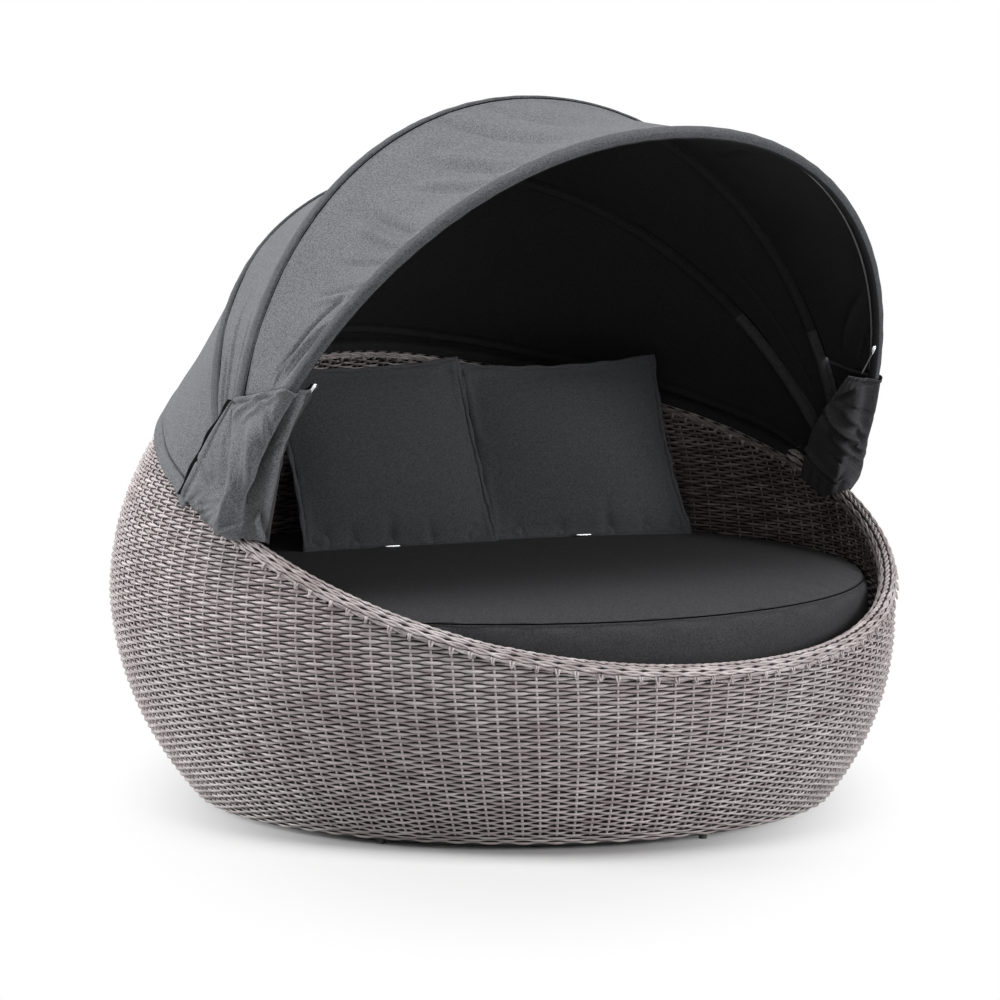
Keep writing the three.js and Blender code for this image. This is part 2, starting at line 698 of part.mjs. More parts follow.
function buildCanopy() {
  const { rear, mid, front } = BOWS;
  for (const [name, bow] of Object.entries(BOWS)) buildBow(name, bow);
  const frontPanel = bowPanel(mid, SEAM_MID, front, SEAM_FRONT, 0.035);
  const midPanel = bowPanel(rear, CLOTH_START, mid, CLOTH_START, 0.02);
  addPart("canopy_front_panel", frontPanel, CANOPY_CLOTH);
  addPart("canopy_mid_panel", midPanel, CANOPY_CLOTH);
  addPart("canopy_rear_panel", rearPanel(), CANOPY_CLOTH);
  addPart("boot_right", boot(1), CANOPY_CLOTH);
  addPart("boot_left", boot(-1), CANOPY_CLOTH);
  addPart("zip_slider_right", zipSlider(1), ZIP_METAL);
  addPart("zip_slider_left", zipSlider(-1), ZIP_METAL);
}

buildFrame();
buildSeatSupport();
buildSlats();
buildGlides();
buildBowl();
buildPivots();
buildCushion();
for (const [name, corners] of Object.entries(PILLOWS)) addPart(name, pillow(corners), SEAT_CLOTH);
buildCanopy();

export default daybed;
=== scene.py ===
import math

import bpy
import numpy as np
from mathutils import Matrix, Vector


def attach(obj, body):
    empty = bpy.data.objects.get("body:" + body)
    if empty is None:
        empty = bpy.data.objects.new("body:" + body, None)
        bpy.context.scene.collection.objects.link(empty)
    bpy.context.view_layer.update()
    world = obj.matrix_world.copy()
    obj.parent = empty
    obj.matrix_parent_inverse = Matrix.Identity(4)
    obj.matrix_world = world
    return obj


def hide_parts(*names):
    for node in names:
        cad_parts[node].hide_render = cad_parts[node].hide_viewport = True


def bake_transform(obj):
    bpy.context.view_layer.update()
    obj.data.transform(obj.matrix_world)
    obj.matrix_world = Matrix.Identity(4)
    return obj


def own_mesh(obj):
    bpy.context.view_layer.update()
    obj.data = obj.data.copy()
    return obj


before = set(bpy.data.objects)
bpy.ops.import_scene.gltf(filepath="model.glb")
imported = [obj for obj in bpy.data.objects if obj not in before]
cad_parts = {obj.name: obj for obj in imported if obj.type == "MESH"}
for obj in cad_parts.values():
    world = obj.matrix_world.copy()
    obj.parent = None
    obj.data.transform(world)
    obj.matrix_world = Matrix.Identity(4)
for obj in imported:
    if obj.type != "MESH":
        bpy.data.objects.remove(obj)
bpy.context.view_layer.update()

# Outdoor daybed with a folding canopy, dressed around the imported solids.
# Lengths are millimetres until a mesh is made. +Z is up and the open front is towards -Y.
MM = 0.001
DEG = math.pi / 180
SIDES = {1: "right", -1: "left"}

# Dimensions of the bowl, as in the part's source
BOWL_RADIUS = 875
DEPTH_RATIO = 1.02
BOWL_CENTRE_Y = 7.4
EQUATOR_HEIGHT = 455
LOWER_AXIS = 735
LOWER_POWER = 2.05
UPPER_AXIS = 750
FOOT_LEAN = 0.1
WALL_BOTTOM = 10
WALL_CORE = 16.5
CREST_HEIGHTS = [697.5, -280, -24.7, 0, 8.9]
BORDER_RADIUS = 22
BORDER_LEG = 12
DECK_HEIGHT = 372
CUSHION_BOTTOM = 370.1
CUSHION_RADIUS = 818
CUSHION_SEAM = 492
CUSHION_CROWN = 524
PILLOW_THICKNESS = 150

# Dimensions of the canopy, as in the part's source
PIVOT_Y = BOWL_CENTRE_Y - 190
PIVOT_Z = 681
PIVOT = np.array([0, PIVOT_Y, PIVOT_Z])
REAR_BOW = {"half_width": 809, "height": 845, "power": 2.07, "tilt": -34.5}
MID_BOW = {"half_width": 825, "height": 880, "power": 2.03, "tilt": -7.8}
FRONT_BOW = {"half_width": 841, "height": 941, "power": 2.09, "tilt": 28.7}
BOWS = {"rear_hoop": REAR_BOW, "mid_hoop": MID_BOW, "front_hoop": FRONT_BOW}
SEAM_MID = 270
SEAM_FRONT_RIGHT = 270
SEAM_FRONT_LEFT = 345
CLOTH_START = 95
SLEEVE_START = 22
CLOTH = 1.8

# Dimensions of the weave
STAKES = 126
STAKE_LEVELS = 44
ROW_PITCH = 8
FIRST_ROW = 3.6
ROW_WANDER = 0.35
PER_STAKE = 6
OVER_HALF_HEIGHT = 4.3
CROSSING_HALF_HEIGHT = 2.9
UNDER_HALF_HEIGHT = 2.2
STRAND_HALF_DEPTH = 2.5
WEAVE_SWING = 3.5
WEAVE_DEPTH = 6.2
BACKING_DEPTH = 12.4
BACKING_FOOT_DEPTH = 7.4
BACKING_THICKNESS = 0.8
INNER_FACE = 33
FOOT_BAND = 30
FOOT_BLEND = 8

# The inner side has the outer wicker's paler colour above this height, at the back, as painted light, and
# below it a darker copy as painted shade.
LIT_ABOVE = 885

draw = np.random.default_rng(7)


def unit(v):
    return v / np.maximum(np.linalg.norm(v, axis=-1, keepdims=True), 1e-9)


def smooth(value, low, high):
    t = np.clip((np.asarray(value, float) - low) / (high - low), 0, 1)
    return t * t * (3 - 2 * t)


def lerp(a, b, t):
    return a + (b - a) * t


def bell(value, middle, width):
    return np.exp(-(((value - middle) / width) ** 2))


# Angles evenly spaced over a full turn
def turns(count):
    return 2 * np.pi * np.arange(count) / count


# The bowl's outer surface. Angles run from the front towards +X.
def outside_radius(z):
    z = np.asarray(z, float)
    lower = z < EQUATOR_HEIGHT
    power = np.where(lower, LOWER_POWER, 2.0)
    reach = np.abs(z - EQUATOR_HEIGHT) / np.where(lower, LOWER_AXIS, UPPER_AXIS)
    return BOWL_RADIUS * (1 - reach**power) ** (1 / power)


def outside_point(angle, z):
    angle, z = np.broadcast_arrays(np.asarray(angle, float), np.asarray(z, float))
    radius = outside_radius(z)
    lean = BOWL_CENTRE_Y + FOOT_LEAN * np.minimum(z - EQUATOR_HEIGHT, 0)
    return np.stack([radius * np.sin(angle), lean - DEPTH_RATIO * radius * np.cos(angle), z], -1)


def outside_around(angle, z, step=0.01):
    return outside_point(angle + step, z) - outside_point(angle - step, z)


def outside_up(angle, z):
    return outside_point(angle, z + 1) - outside_point(angle, z - 1)


def outside_normal(angle, z):
    return unit(np.cross(outside_around(angle, z), outside_up(angle, z)))


def wall_point(angle, z, depth):
    return outside_point(angle, z) - outside_normal(angle, z) * np.asarray(depth)[..., None]


def crest_height(angle):
    return sum(term * np.cos(order * angle) for order, term in enumerate(CREST_HEIGHTS))


def rim_height(angle):
    crest = crest_height(angle)
    normal = outside_normal(angle, crest)
    return crest - BORDER_RADIUS * np.hypot(normal[..., 0], normal[..., 1]) + WALL_CORE * normal[..., 2]


def rim_centre(angle):
    return wall_point(angle, rim_height(angle), WALL_CORE)


# The rim tube's centre line, with the directions out of the bowl, up across the rim and along.
def rim_frame(angle, step=0.01):
    angle = np.asarray(angle, float)
    along = unit(rim_centre(angle + step) - rim_centre(angle - step))
    out = outside_normal(angle, rim_height(angle))
    out = unit(out - along * np.sum(out * along, -1, keepdims=True))
    return rim_centre(angle), out, np.cross(out, along), along


def rim_point(angle, outwards, upwards):
    centre, out, up, _ = rim_frame(angle)
    return centre + out * np.asarray(outwards)[..., None] + up * np.asarray(upwards)[..., None]


# Points on level rings about the bowl's axis
def ring_point(radius, angle, z):
    across, along = radius * np.sin(angle), BOWL_CENTRE_Y - radius * np.cos(angle)
    return np.stack(np.broadcast_arrays(across, along, z), -1)


# Meshes
def place_object(name, data, place=(0, 0, 0), aim=None):
    thing = bpy.data.objects.new(name, data)
    thing.location = place
    if aim:
        thing.rotation_euler = (Vector(aim) - Vector(place)).to_track_quat("-Z", "Y").to_euler()
    bpy.context.scene.collection.objects.link(thing)
    return thing


def add_mesh(name, points, faces, materials, face_material=None):
    mesh = bpy.data.meshes.new(name)
    faces = faces.tolist() if isinstance(faces, np.ndarray) else faces
    mesh.from_pydata((np.asarray(points, float).reshape(-1, 3) * MM).tolist(), [], faces)
    for material in materials:
        mesh.materials.append(material)
    if face_material is not None:
        mesh.polygons.foreach_set("material_index", np.asarray(face_material, np.int32))
    mesh.shade_smooth()
    mesh.update()
    return place_object(name, mesh)


# Keeps the points that faces use.
def compact(points, faces):
    used, index = np.unique(faces, return_inverse=True)
    return points[used], index.reshape(faces.shape)


def face_heights(points, faces):
    return points[faces][:, :, 2].mean(1)


def grid_quads(index):
    return np.stack([index[:-1, :-1], index[1:, :-1], index[1:, 1:], index[:-1, 1:]], -1).reshape(-1, 4)


# The faces of tubes laid side by side: points[tube, station, side], a station joined to the
# next wherever kept says so.
def tube_faces(tubes, stations, sides, kept=True, closed=False):
    index = np.arange(tubes * stations * sides).reshape(tubes, stations, sides)
    following = np.roll(index, -1, axis=1)
    quads = np.stack([index, np.roll(index, -1, axis=2), np.roll(following, -1, axis=2), following], -1)
    kept = np.broadcast_to(kept, (tubes, stations))
    joined = kept & np.roll(kept, -1, axis=1)
    if not closed:
        joined[:, -1] = False
    return quads[joined].reshape(-1, 4)


# A tube along a line of points, its section given in two directions square to the line. Its
# faces look outwards when the first direction crossed with the second runs along the line.
def tube_points(line, first, second, radius_first, radius_second, sides, turn=0.0):
    angles = turns(sides) + turn
    a = np.asarray(radius_first)[..., None, None] * np.cos(angles)[:, None]
    b = np.asarray(radius_second)[..., None, None] * np.sin(angles)[:, None]
    return line[..., None, :] + first[..., None, :] * a + second[..., None, :] * b


# Tubes of points[station, side] with closed ends, as one list of points and one of faces
def capped(tubes):
    faces, start = [], 0
    for tube in tubes:
        stations, sides = tube.shape[:2]
        first = list(range(sides))
        last = [(stations - 1) * sides + k for k in first]
        quads = tube_faces(1, stations, sides).tolist() + [first[::-1], last]
        faces += [[k + start for k in face] for face in quads]
        start += stations * sides
    return np.concatenate([tube.reshape(-1, 3) for tube in tubes]), faces


def add_ring(name, ring, material):
    return add_mesh(name, ring, tube_faces(1, *ring.shape[:2], closed=True), [material])


def add_tube(name, tube, material):
    return add_mesh(name, *capped([tube]), [material])


# Each piece follows a body and has a finish, and may stand for one of the solids.
def dress(piece, body, node=None):
    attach(piece, body)
    if node:
        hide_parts(node)
    return piece


# Materials
def srgb(levels):
    def linear(level):
        share = level / 255
        return share / 12.92 if share <= 0.04045 else ((share + 0.055) / 1.055) ** 2.4

    return (*map(linear, levels), 1)


class Tree:
    """A node tree and the few moves that the looks, the floor and the world share."""

    def __init__(self, owner):
        owner.use_nodes = True
        self.nodes = owner.node_tree.nodes
        self.links = owner.node_tree.links

    def feed(self, socket, source):
        if isinstance(source, bpy.types.NodeSocket):
            self.links.new(source, socket)
        else:
            socket.default_value = source

    def node(self, kind, output, inputs, **settings):
        made = self.nodes.new("ShaderNode" + kind)
        for setting, value in settings.items():
            setattr(made, setting, value)
        for name, source in inputs.items():
            self.feed(made.inputs[name], source)
        return made.outputs[output]

    def maths(self, operation, a, b):
        return self.node("Math", "Value", {0: a, 1: b}, operation=operation)

    # 1 for rays that look at a surface, from the camera or by way of gloss or glass
    def looking(self):
        ray = self.nodes.new("ShaderNodeLightPath").outputs
        seen = self.maths("MAXIMUM", ray["Is Glossy Ray"], ray["Is Transmission Ray"])
        return self.maths("MAXIMUM", ray["Is Camera Ray"], seen)


class Look(Tree):
    """A material with one principled shader."""

    def __init__(self, name, roughness, metallic=0.0, specular=0.5):
        self.material = bpy.data.materials.new(name)
        super().__init__(self.material)
        self.surface = self.nodes["Principled BSDF"].inputs
        self.surface["Roughness"].default_value = roughness
        self.surface["Metallic"].default_value = metallic
        self.surface["Specular IOR Level"].default_value = specular
        self.place = self.nodes.new("ShaderNodeTexCoord").outputs["Object"]

    def noise(self, scale, detail, stretch=(1, 1, 1)):
        place = self.node("Mapping", "Vector", {"Scale": stretch, "Vector": self.place})
        return self.node("TexNoise", "Fac", {"Scale": scale, "Detail": detail, "Vector": place})

    def waves(self, scale, direction):
        inputs = {"Scale": scale, "Distortion": 0.4, "Vector": self.place}
        return self.node("TexWave", "Fac", inputs, bands_direction=direction)

    def ramp(self, value, *stops):
        node = self.nodes.new("ShaderNodeValToRGB")
        elements = node.color_ramp.elements
        while len(elements) < len(stops):
            elements.new(0.5)
        for element, (position, colour) in zip(elements, stops):
            element.position = position
            element.color = colour
        self.feed(node.inputs["Fac"], value)
        return node.outputs["Color"]

    # Multiplies a tone by a dark one where a pattern is low, and by white where it is high.
    def darkened(self, tone, pattern, low, high, dark, share):
        shade = self.ramp(pattern, (low, (*dark, 1)), (high, (1, 1, 1, 1)))
        inputs = {"Factor": share, "A": tone, "B": shade}
        return self.node("Mix", "Result", inputs, data_type="RGBA", blend_type="MULTIPLY")

    def paint(self, tone):
        self.feed(self.surface["Base Color"], tone)

    def wear(self, pattern, low, high):
        inputs = {"Value": pattern, "To Min": low, "To Max": high}
        self.feed(self.surface["Roughness"], self.node("MapRange", "Result", inputs))

    def bump(self, height, distance):
        normal = self.surface["Normal"]
        inputs = {"Distance": distance, "Height": height}
        if normal.is_linked:
            inputs["Normal"] = normal.links[0].from_socket
        self.feed(normal, self.node("Bump", "Normal", inputs))


# Woven resin strand: tones change from strand to strand and run along it.
def wicker_look(name, pale, middle, warm, roughness):
    look = Look(name, roughness, specular=0.45)
    per_strand = look.noise(1.0, 1.0, (14, 14, 118))
    tone = look.ramp(per_strand, (0.3, srgb(warm)), (0.5, srgb(middle)), (0.68, srgb(pale)))
    streaks = look.noise(1.0, 2.0, (60, 60, 900))
    tone = look.darkened(tone, streaks, 0.35, 0.62, (0.72, 0.71, 0.71), 0.5)
    look.paint(look.darkened(tone, look.noise(3.2, 3.0), 0.35, 0.62, (0.86, 0.82, 0.82), 0.8))
    look.wear(streaks, roughness - 0.08, roughness + 0.16)
    look.bump(streaks, 0.00015)
    return look.material


# Woven outdoor cloth: crossed threads, uneven yarn and a little fading.
def cloth_look(name, dark, light, sheen=0.0, slub=0.5, specular=0.25, threads=330):
    look = Look(name, 0.9, specular=specular)
    look.surface["Sheen Weight"].default_value = sheen
    look.surface["Sheen Roughness"].default_value = 0.4
    across = look.noise(1.0, 3.0, (190, 190, 640))
    upright = look.noise(1.0, 3.0, (640, 640, 190))
    yarn = look.maths("MULTIPLY", look.maths("ADD", across, upright), 0.5)
    tone = look.ramp(yarn, (0.4, srgb(dark)), (0.6, srgb(light)))
    look.paint(look.darkened(tone, look.noise(7.0, 5.0), 0.3, 0.7, (0.8, 0.8, 0.81), slub))
    crossed = look.maths("ADD", look.waves(threads, "X"), look.waves(threads, "Z"))
    look.bump(look.maths("ADD", crossed, look.waves(threads, "Y")), 0.00004)
    look.bump(yarn, 0.0001)
    return look.material


def metal_look(name, dark, light, roughness, metallic, brushed=(300, 300, 300), bump=0.00008):
    look = Look(name, roughness, metallic)
    grain = look.noise(1.0, 3.0, brushed)
    look.paint(look.ramp(grain, (0.3, srgb(dark)), (0.7, srgb(light))))
    look.wear(look.noise(25.0, 3.0), roughness - 0.08, roughness + 0.12)
    look.bump(grain, bump)
    return look.material


OUTER_WICKER = wicker_look("wicker", (198, 191, 190), (172, 165, 164), (150, 140, 139), 0.38)
# Painted shade: a darker copy of the wicker for the bowl's inside.
SHADED_WICKER = wicker_look("wicker_inside_painted_shade", (174, 163, 162), (140, 129, 128), (106, 95, 94), 0.34)
# Painted highlight: the stakes are paler than the strands whose shade they sit in.
LIT_STAKE_WICKER = wicker_look("wicker_stakes_painted_highlight", (212, 206, 205), (196, 189, 188), (180, 171, 170), 0.38)
# Painted shade: a dark sheet behind the weave and under the ropes.
WICKER_BACK_SHADE = wicker_look("wicker_back_painted_shade", (44, 38, 37), (38, 33, 32), (32, 28, 27), 0.7)
CANOPY_CLOTH = cloth_look("canopy_cloth", (68, 69, 72), (114, 115, 118), sheen=0.05)
# Painted shade: the sleeves are darker than the panels.
SHADED_SLEEVE_CLOTH = cloth_look("canopy_cloth_sleeves_painted_shade", (52, 53, 56), (88, 89, 92), sheen=0.05)
# Painted shade: the canopy's inside, the same cloth as outside but darker.
CANOPY_INSIDE_SHADE = cloth_look("canopy_inside_painted_shade", (20, 20, 21), (38, 38, 39))
SHADED_CLOTH = cloth_look("canopy_cloth_shaded", (44, 44, 46), (66, 66, 68))
# Painted highlight: pale piping along the front bow's seam and inside the front panel.
PIPING_HIGHLIGHT_CLOTH = cloth_look("piping_cloth_painted_highlight", (120, 121, 124), (150, 151, 154), sheen=0.1)
CUSHION_CLOTH = cloth_look("cushion_cloth", (40, 40, 42), (62, 62, 64), slub=0.35, threads=300)
PILLOW_CLOTH = cloth_look("pillow_cloth", (50, 51, 53), (70, 71, 74), sheen=0.1, slub=0.35)
COATING = metal_look("frame_coating", (66, 66, 68), (78, 78, 80), 0.5, 0.3)
TUBE_METAL = metal_look("bow_tube", (168, 170, 173), (192, 194, 197), 0.38, 0.9, (40, 900, 900))
SLAT_METAL = metal_look("slat", (158, 160, 163), (184, 186, 189), 0.42, 0.85, (12, 900, 900))
FASTENER = metal_look("fasteners", (188, 190, 192), (208, 210, 212), 0.3, 1.0)
GLIDE_NYLON = metal_look("glide", (26, 26, 27), (34, 34, 35), 0.6, 0.0, bump=0.0002)
ZIP_METAL = metal_look("zip_metal", (226, 228, 230), (240, 241, 242), 0.22, 1.0)
# Painted shade: black for seam lines, the cushion's seam and the strip beside each boot's rear edge.
PAINTED_SHADE_BLACK = cloth_look("black_painted_shade", (5, 5, 6), (10, 10, 11), specular=0.03)


# Row heights evenly spaced up the curve of the wall
def row_heights(bottom, top):
    z = np.linspace(WALL_BOTTOM, top, 600)
    length = np.concatenate([[0], np.cumsum(np.hypot(np.diff(z), np.diff(outside_radius(z))))])
    heights = np.interp(np.arange(FIRST_ROW, length[-1], ROW_PITCH), length, z)
    return heights[heights > bottom]


# Woven wall. A strand passes in front of one stake and behind the next, and its neighbours do
# the opposite. facing is 1 for a wall seen from outside and -1 for one seen from inside.
def weave(name, node, face_depth, facing, bottom, material):
    outside = facing > 0
    stations = STAKES * PER_STAKE
    angle = turns(stations)
    place = np.arange(stations) / PER_STAKE
    rim = rim_height(angle)
    heights = row_heights(bottom, rim.max())[:, None]
    row = np.arange(len(heights))[:, None]
    wander = np.interp(place + 3.7 * row, np.arange(STAKES * 8), draw.normal(0, 1, STAKES * 8))
    z = heights + ROW_WANDER * wander
    wave = np.cos(np.pi * (place + row))
    wave = np.sign(wave) * np.abs(wave) ** 0.7
    foot = 0.55 + 0.45 * smooth(heights, FOOT_BAND - 10, FOOT_BAND + FOOT_BLEND) if outside else 1.0
    middle = lerp(STRAND_HALF_DEPTH + 0.3, WEAVE_DEPTH, foot)
    line = wall_point(angle, z, face_depth + facing * (middle - WEAVE_SWING * foot * wave))
    out, up = outside_normal(angle, z), unit(outside_up(angle, z))
    front_or_back = np.where(wave > 0, OVER_HALF_HEIGHT, UNDER_HALF_HEIGHT)
    half_height = lerp(CROSSING_HALF_HEIGHT, front_or_back, np.abs(wave))
    points = tube_points(line, out * facing, up * facing, STRAND_HALF_DEPTH, half_height, 4)
    faces = tube_faces(len(heights), stations, 4, heights < rim - BORDER_LEG + 1, closed=True)
    points, faces = compact(points.reshape(-1, 3), faces)
    # Inner-wall strands get painted shade, the darker wicker copy, and painted light, the outer wicker, above
    # LIT_ABOVE.
    lit = (facing < 0) & (face_heights(points, faces) > LIT_ABOVE)
    strands = add_mesh(name + "_strands", points, faces, [material, OUTER_WICKER], lit)

    angle = turns(STAKES)[:, None]
    low = max(bottom, FOOT_BAND) if outside else bottom
    z = lerp(low, rim_height(angle) - BORDER_LEG + 2, np.linspace(0, 1, STAKE_LEVELS))
    line = wall_point(angle, z, face_depth + facing * WEAVE_DEPTH)
    points = tube_points(line, outside_normal(angle, z), unit(outside_around(angle, z)), 2.5, 2.9, 4)
    # Outer stakes are paler as painted highlight; inner ones take the wall's painted-shade copy.
    stake_material = LIT_STAKE_WICKER if outside else material
    stakes = add_mesh(name + "_stakes", points, tube_faces(STAKES, STAKE_LEVELS, 4), [stake_material])

    # A dark sheet behind the strands paints the shade in the weave's gaps.
    angle = turns(112)[:, None]
    z = lerp(bottom, rim_height(angle) - 6, np.linspace(0, 1, 30))
    rising = smooth(z, FOOT_BAND, FOOT_BAND + FOOT_BLEND) if outside else 1.0
    behind = lerp(BACKING_FOOT_DEPTH, BACKING_DEPTH, rising)
    near = wall_point(angle, z, face_depth + facing * behind)
    far = wall_point(angle, z, face_depth + facing * (behind + BACKING_THICKNESS))
    shade_backing = add_ring(name + "_backing", np.concatenate([near, far[:, ::-1]], 1), WICKER_BACK_SHADE)

    for piece, stands_for in ((strands, node), (stakes, None), (shade_backing, None)):
        dress(piece, "base", stands_for)


weave("outer_weave", "outer_wicker_wall", 0, 1, WALL_BOTTOM, OUTER_WICKER)
weave("inner_weave", "inner_wicker_wall", INNER_FACE, -1, DECK_HEIGHT, SHADED_WICKER)

LEDGE_TOP = 372.2
LEDGE_THICKNESS = 1.5
LEDGE_DEPTH = 34.5
LEDGE_INNER = CUSHION_RADIUS - 11
LEDGE_RIDGES = 7


# A woven ledge lies on the slats between the cushion and the inner wall, in the darker wicker copy that
# paints its shade.
def deck_ledge():
    outer = wall_point(turns(168), LEDGE_TOP, LEDGE_DEPTH)
    around = np.arctan2(outer[:, 0], BOWL_CENTRE_Y - outer[:, 1])
    inner = ring_point(LEDGE_INNER, around, outer[:, 2])
    top = lerp(inner[:, None], outer[:, None], np.linspace(0, 1, LEDGE_RIDGES)[:, None])
    top[..., 2] -= 0.35 * (np.arange(LEDGE_RIDGES) % 2)
    under = top[:, ::-1] - np.array([0, 0, LEDGE_THICKNESS])
    return add_ring("deck_ledge", np.concatenate([top, under], 1), SHADED_WICKER)


dress(deck_ledge(), "base")

# The pivot plates come up through the border, so its strands stop beside them.
PLATE_X = 797.7
PLATE_HALF_THICKNESS = 7
PLATE_HALF_WIDTH = 27

# Each rope has its place round the rim's section in degrees, its twists and how far its two
# strands swing, and where its twist starts.
ROPES = (
    (-24, 60, 2.2, 0.2),
    (8, 60, 3.2, 0.0),
    (44, 60, 3.2, 0.5),
    (88, 124, 3.2, 0.25),
    (132, 60, 3.2, 0.1),
    (170, 60, 3.2, 0.6),
    (202, 60, 2.2, 0.4),
)
ROPE_CENTRE = 18.2
STRAND_HALF = (2.6, 3.0)
STRAND_SIDES = 5
INNER_SIDE = 140


# Twisted ropes of two strands laid side by side over the rim, from its outer to its inner side
def rim_ropes():
    points, faces, inner, start = [], [], [], 0
    for place, twists, swing, phase in ROPES:
        stations = twists * 9
        angle = turns(stations)
        centre, out, up, _ = rim_frame(angle)
        for strand in (0, 1):
            turn = twists * angle + 2 * np.pi * (phase + strand / 2)
            section = place * DEG + np.arctan2(swing * np.cos(turn), 18)
            reach = (ROPE_CENTRE + 1.1 * np.sin(turn))[:, None]
            away = reach * (out * np.cos(section)[:, None] + up * np.sin(section)[:, None])
            line = centre + away
            radial = unit(away)
            forward = unit(np.roll(line, -1, 0) - np.roll(line, 1, 0))
            across = unit(np.cross(forward, radial))
            tube = tube_points(line, radial, across, *STRAND_HALF, STRAND_SIDES)
            beside_plate = np.abs(np.abs(line[:, 0]) - PLATE_X) < PLATE_HALF_THICKNESS
            clear = ~(beside_plate & (np.abs(line[:, 1] - PIVOT_Y) < PLATE_HALF_WIDTH))
            quads = tube_faces(1, stations, STRAND_SIDES, clear, closed=True)
            points.append(tube.reshape(-1, 3))
            faces.append(quads + start)
            inner.append(np.full(len(quads), place > INNER_SIDE))
            start += stations * STRAND_SIDES
    points, faces = compact(np.concatenate(points), np.concatenate(faces))
    # Rope faces on the inner side below LIT_ABOVE get the darker wicker copy as painted shade.
    shaded = np.concatenate(inner) & (face_heights(points, faces) < LIT_ABOVE)
    return add_mesh("rim_ropes", points, faces, [OUTER_WICKER, SHADED_WICKER], shaded)


# The end of each stake is folded over and tucked in under the lowest rope.
def rim_knots():
    t = np.linspace(0, 1, 8)
    tubes = []
    for facing in (1, -1):
        for i in range(STAKES):
            centre, out, up, along = rim_frame(2 * np.pi * (i + draw.uniform(-0.12, 0.12)) / STAKES)
            lean = facing * draw.uniform(0.25, 0.75)
            side = lean * 13 * (t - 0.4) + 3.0 * np.sin(np.pi * t)
            height = -4 - 15 * np.sin(np.pi * np.minimum(t * 1.15, 1)) * draw.uniform(0.85, 1.1)
            bulge = facing * (20.2 + 2.3 * np.sin(np.pi * t))
            line = centre + out * bulge[:, None] + up * height[:, None] + along * side[:, None]
            second = unit(np.cross(unit(np.gradient(line, axis=0)), out))
            tubes.append(tube_points(line, out, second, 2.0, 2.4, STRAND_SIDES))
    return add_mesh("rim_knots", *capped(tubes), [OUTER_WICKER])


# A dark strip under the ropes, painted shade between them, an arch with two legs in section
def rim_backing():
    section = []
    for radius, order in ((15.6, 1), (14.4, -1)):
        arch = [(radius * math.cos(a), radius * math.sin(a)) for a in np.linspace(0, math.pi, 9)]
        section += ([(radius, -BORDER_LEG)] + arch + [(-radius, -BORDER_LEG)])[::order]
    return add_ring("rim_backing", rim_point(turns(168)[:, None], *np.array(section).T), WICKER_BACK_SHADE)


dress(rim_ropes(), "base", "rim_border")
dress(rim_knots(), "base")
dress(rim_backing(), "base")

# Padded pieces
SWELL_FRAMES = 20
SWELL_SETTINGS = {
    "quality": 7,
    "mass": 0.15,
    "tension_stiffness": 18,
    "compression_stiffness": 18,
    "shear_stiffness": 8,
    "bending_stiffness": 0.6,
    "use_pressure": True,
    "vertex_group_mass": "seams",
}


def coordinates(piece):
    return np.array([v.co for v in piece.data.vertices])


# Fills a closed cover by a short cloth run, its held points fixed and its moves kept under cap.
def swell(piece, held, grow, pressure, cap):
    scene = bpy.context.scene
    group = piece.vertex_groups.new(name="seams")
    group.add(np.nonzero(held)[0].tolist(), 1.0, "REPLACE")
    before = coordinates(piece)
    cloth = piece.modifiers.new("swell", "CLOTH")
    for setting, value in SWELL_SETTINGS.items():
        setattr(cloth.settings, setting, value)
    cloth.settings.uniform_pressure_force = pressure
    cloth.settings.shrink_min = -grow
    cloth.settings.effector_weights.gravity = 0
    cloth.collision_settings.use_collision = False
    cloth.collision_settings.use_self_collision = False
    for number in range(1, SWELL_FRAMES + 1):
        scene.frame_set(number)
    shaped = piece.evaluated_get(bpy.context.evaluated_depsgraph_get())
    move = np.array([v.co for v in shaped.data.vertices]) - before
    piece.modifiers.remove(cloth)
    piece.vertex_groups.remove(group)
    scene.frame_set(1)
    length = np.linalg.norm(move, axis=1, keepdims=True)
    move /= np.sqrt(1 + (length / (cap * MM)) ** 2)
    piece.data.vertices.foreach_set("co", (before + move).ravel())
    piece.data.update()


def subdivide(piece):
    modifier = piece.modifiers.new("finer", "SUBSURF")
    modifier.levels = 1
    shaped = piece.evaluated_get(bpy.context.evaluated_depsgraph_get())
    finer = bpy.data.meshes.new_from_object(shaped)
    piece.modifiers.remove(modifier)
    piece.data = finer
    piece.data.shade_smooth()


# The cushion's profile: shares of its radius under it, then distances in from its radius with
# heights over its bottom for the side band and over its seam for the groove, and shares on top
UNDER_SHARES = (0.1, 0.25, 0.4, 0.55, 0.7, 0.82, 0.91, 0.955)
BAND = ((22, 1), (12, 4), (6, 10), (2, 18), (1, 34), (2, 52), (2.5, 68), (2, 84), (1, 98), (0, 108))
GROOVE = ((1, -8), (3.5, -2), (9.5, -0.8), (9.5, 0.8), (4.5, 2.4))
TOP_SHARES = (0.993, 0.985, 0.97, 0.95, 0.925, 0.9, 0.87, 0.84, 0.8, 0.76, 0.71, 0.66)
HELD_RINGS = (*range(10), 20, 21)
CUSHION_COLUMNS = 160


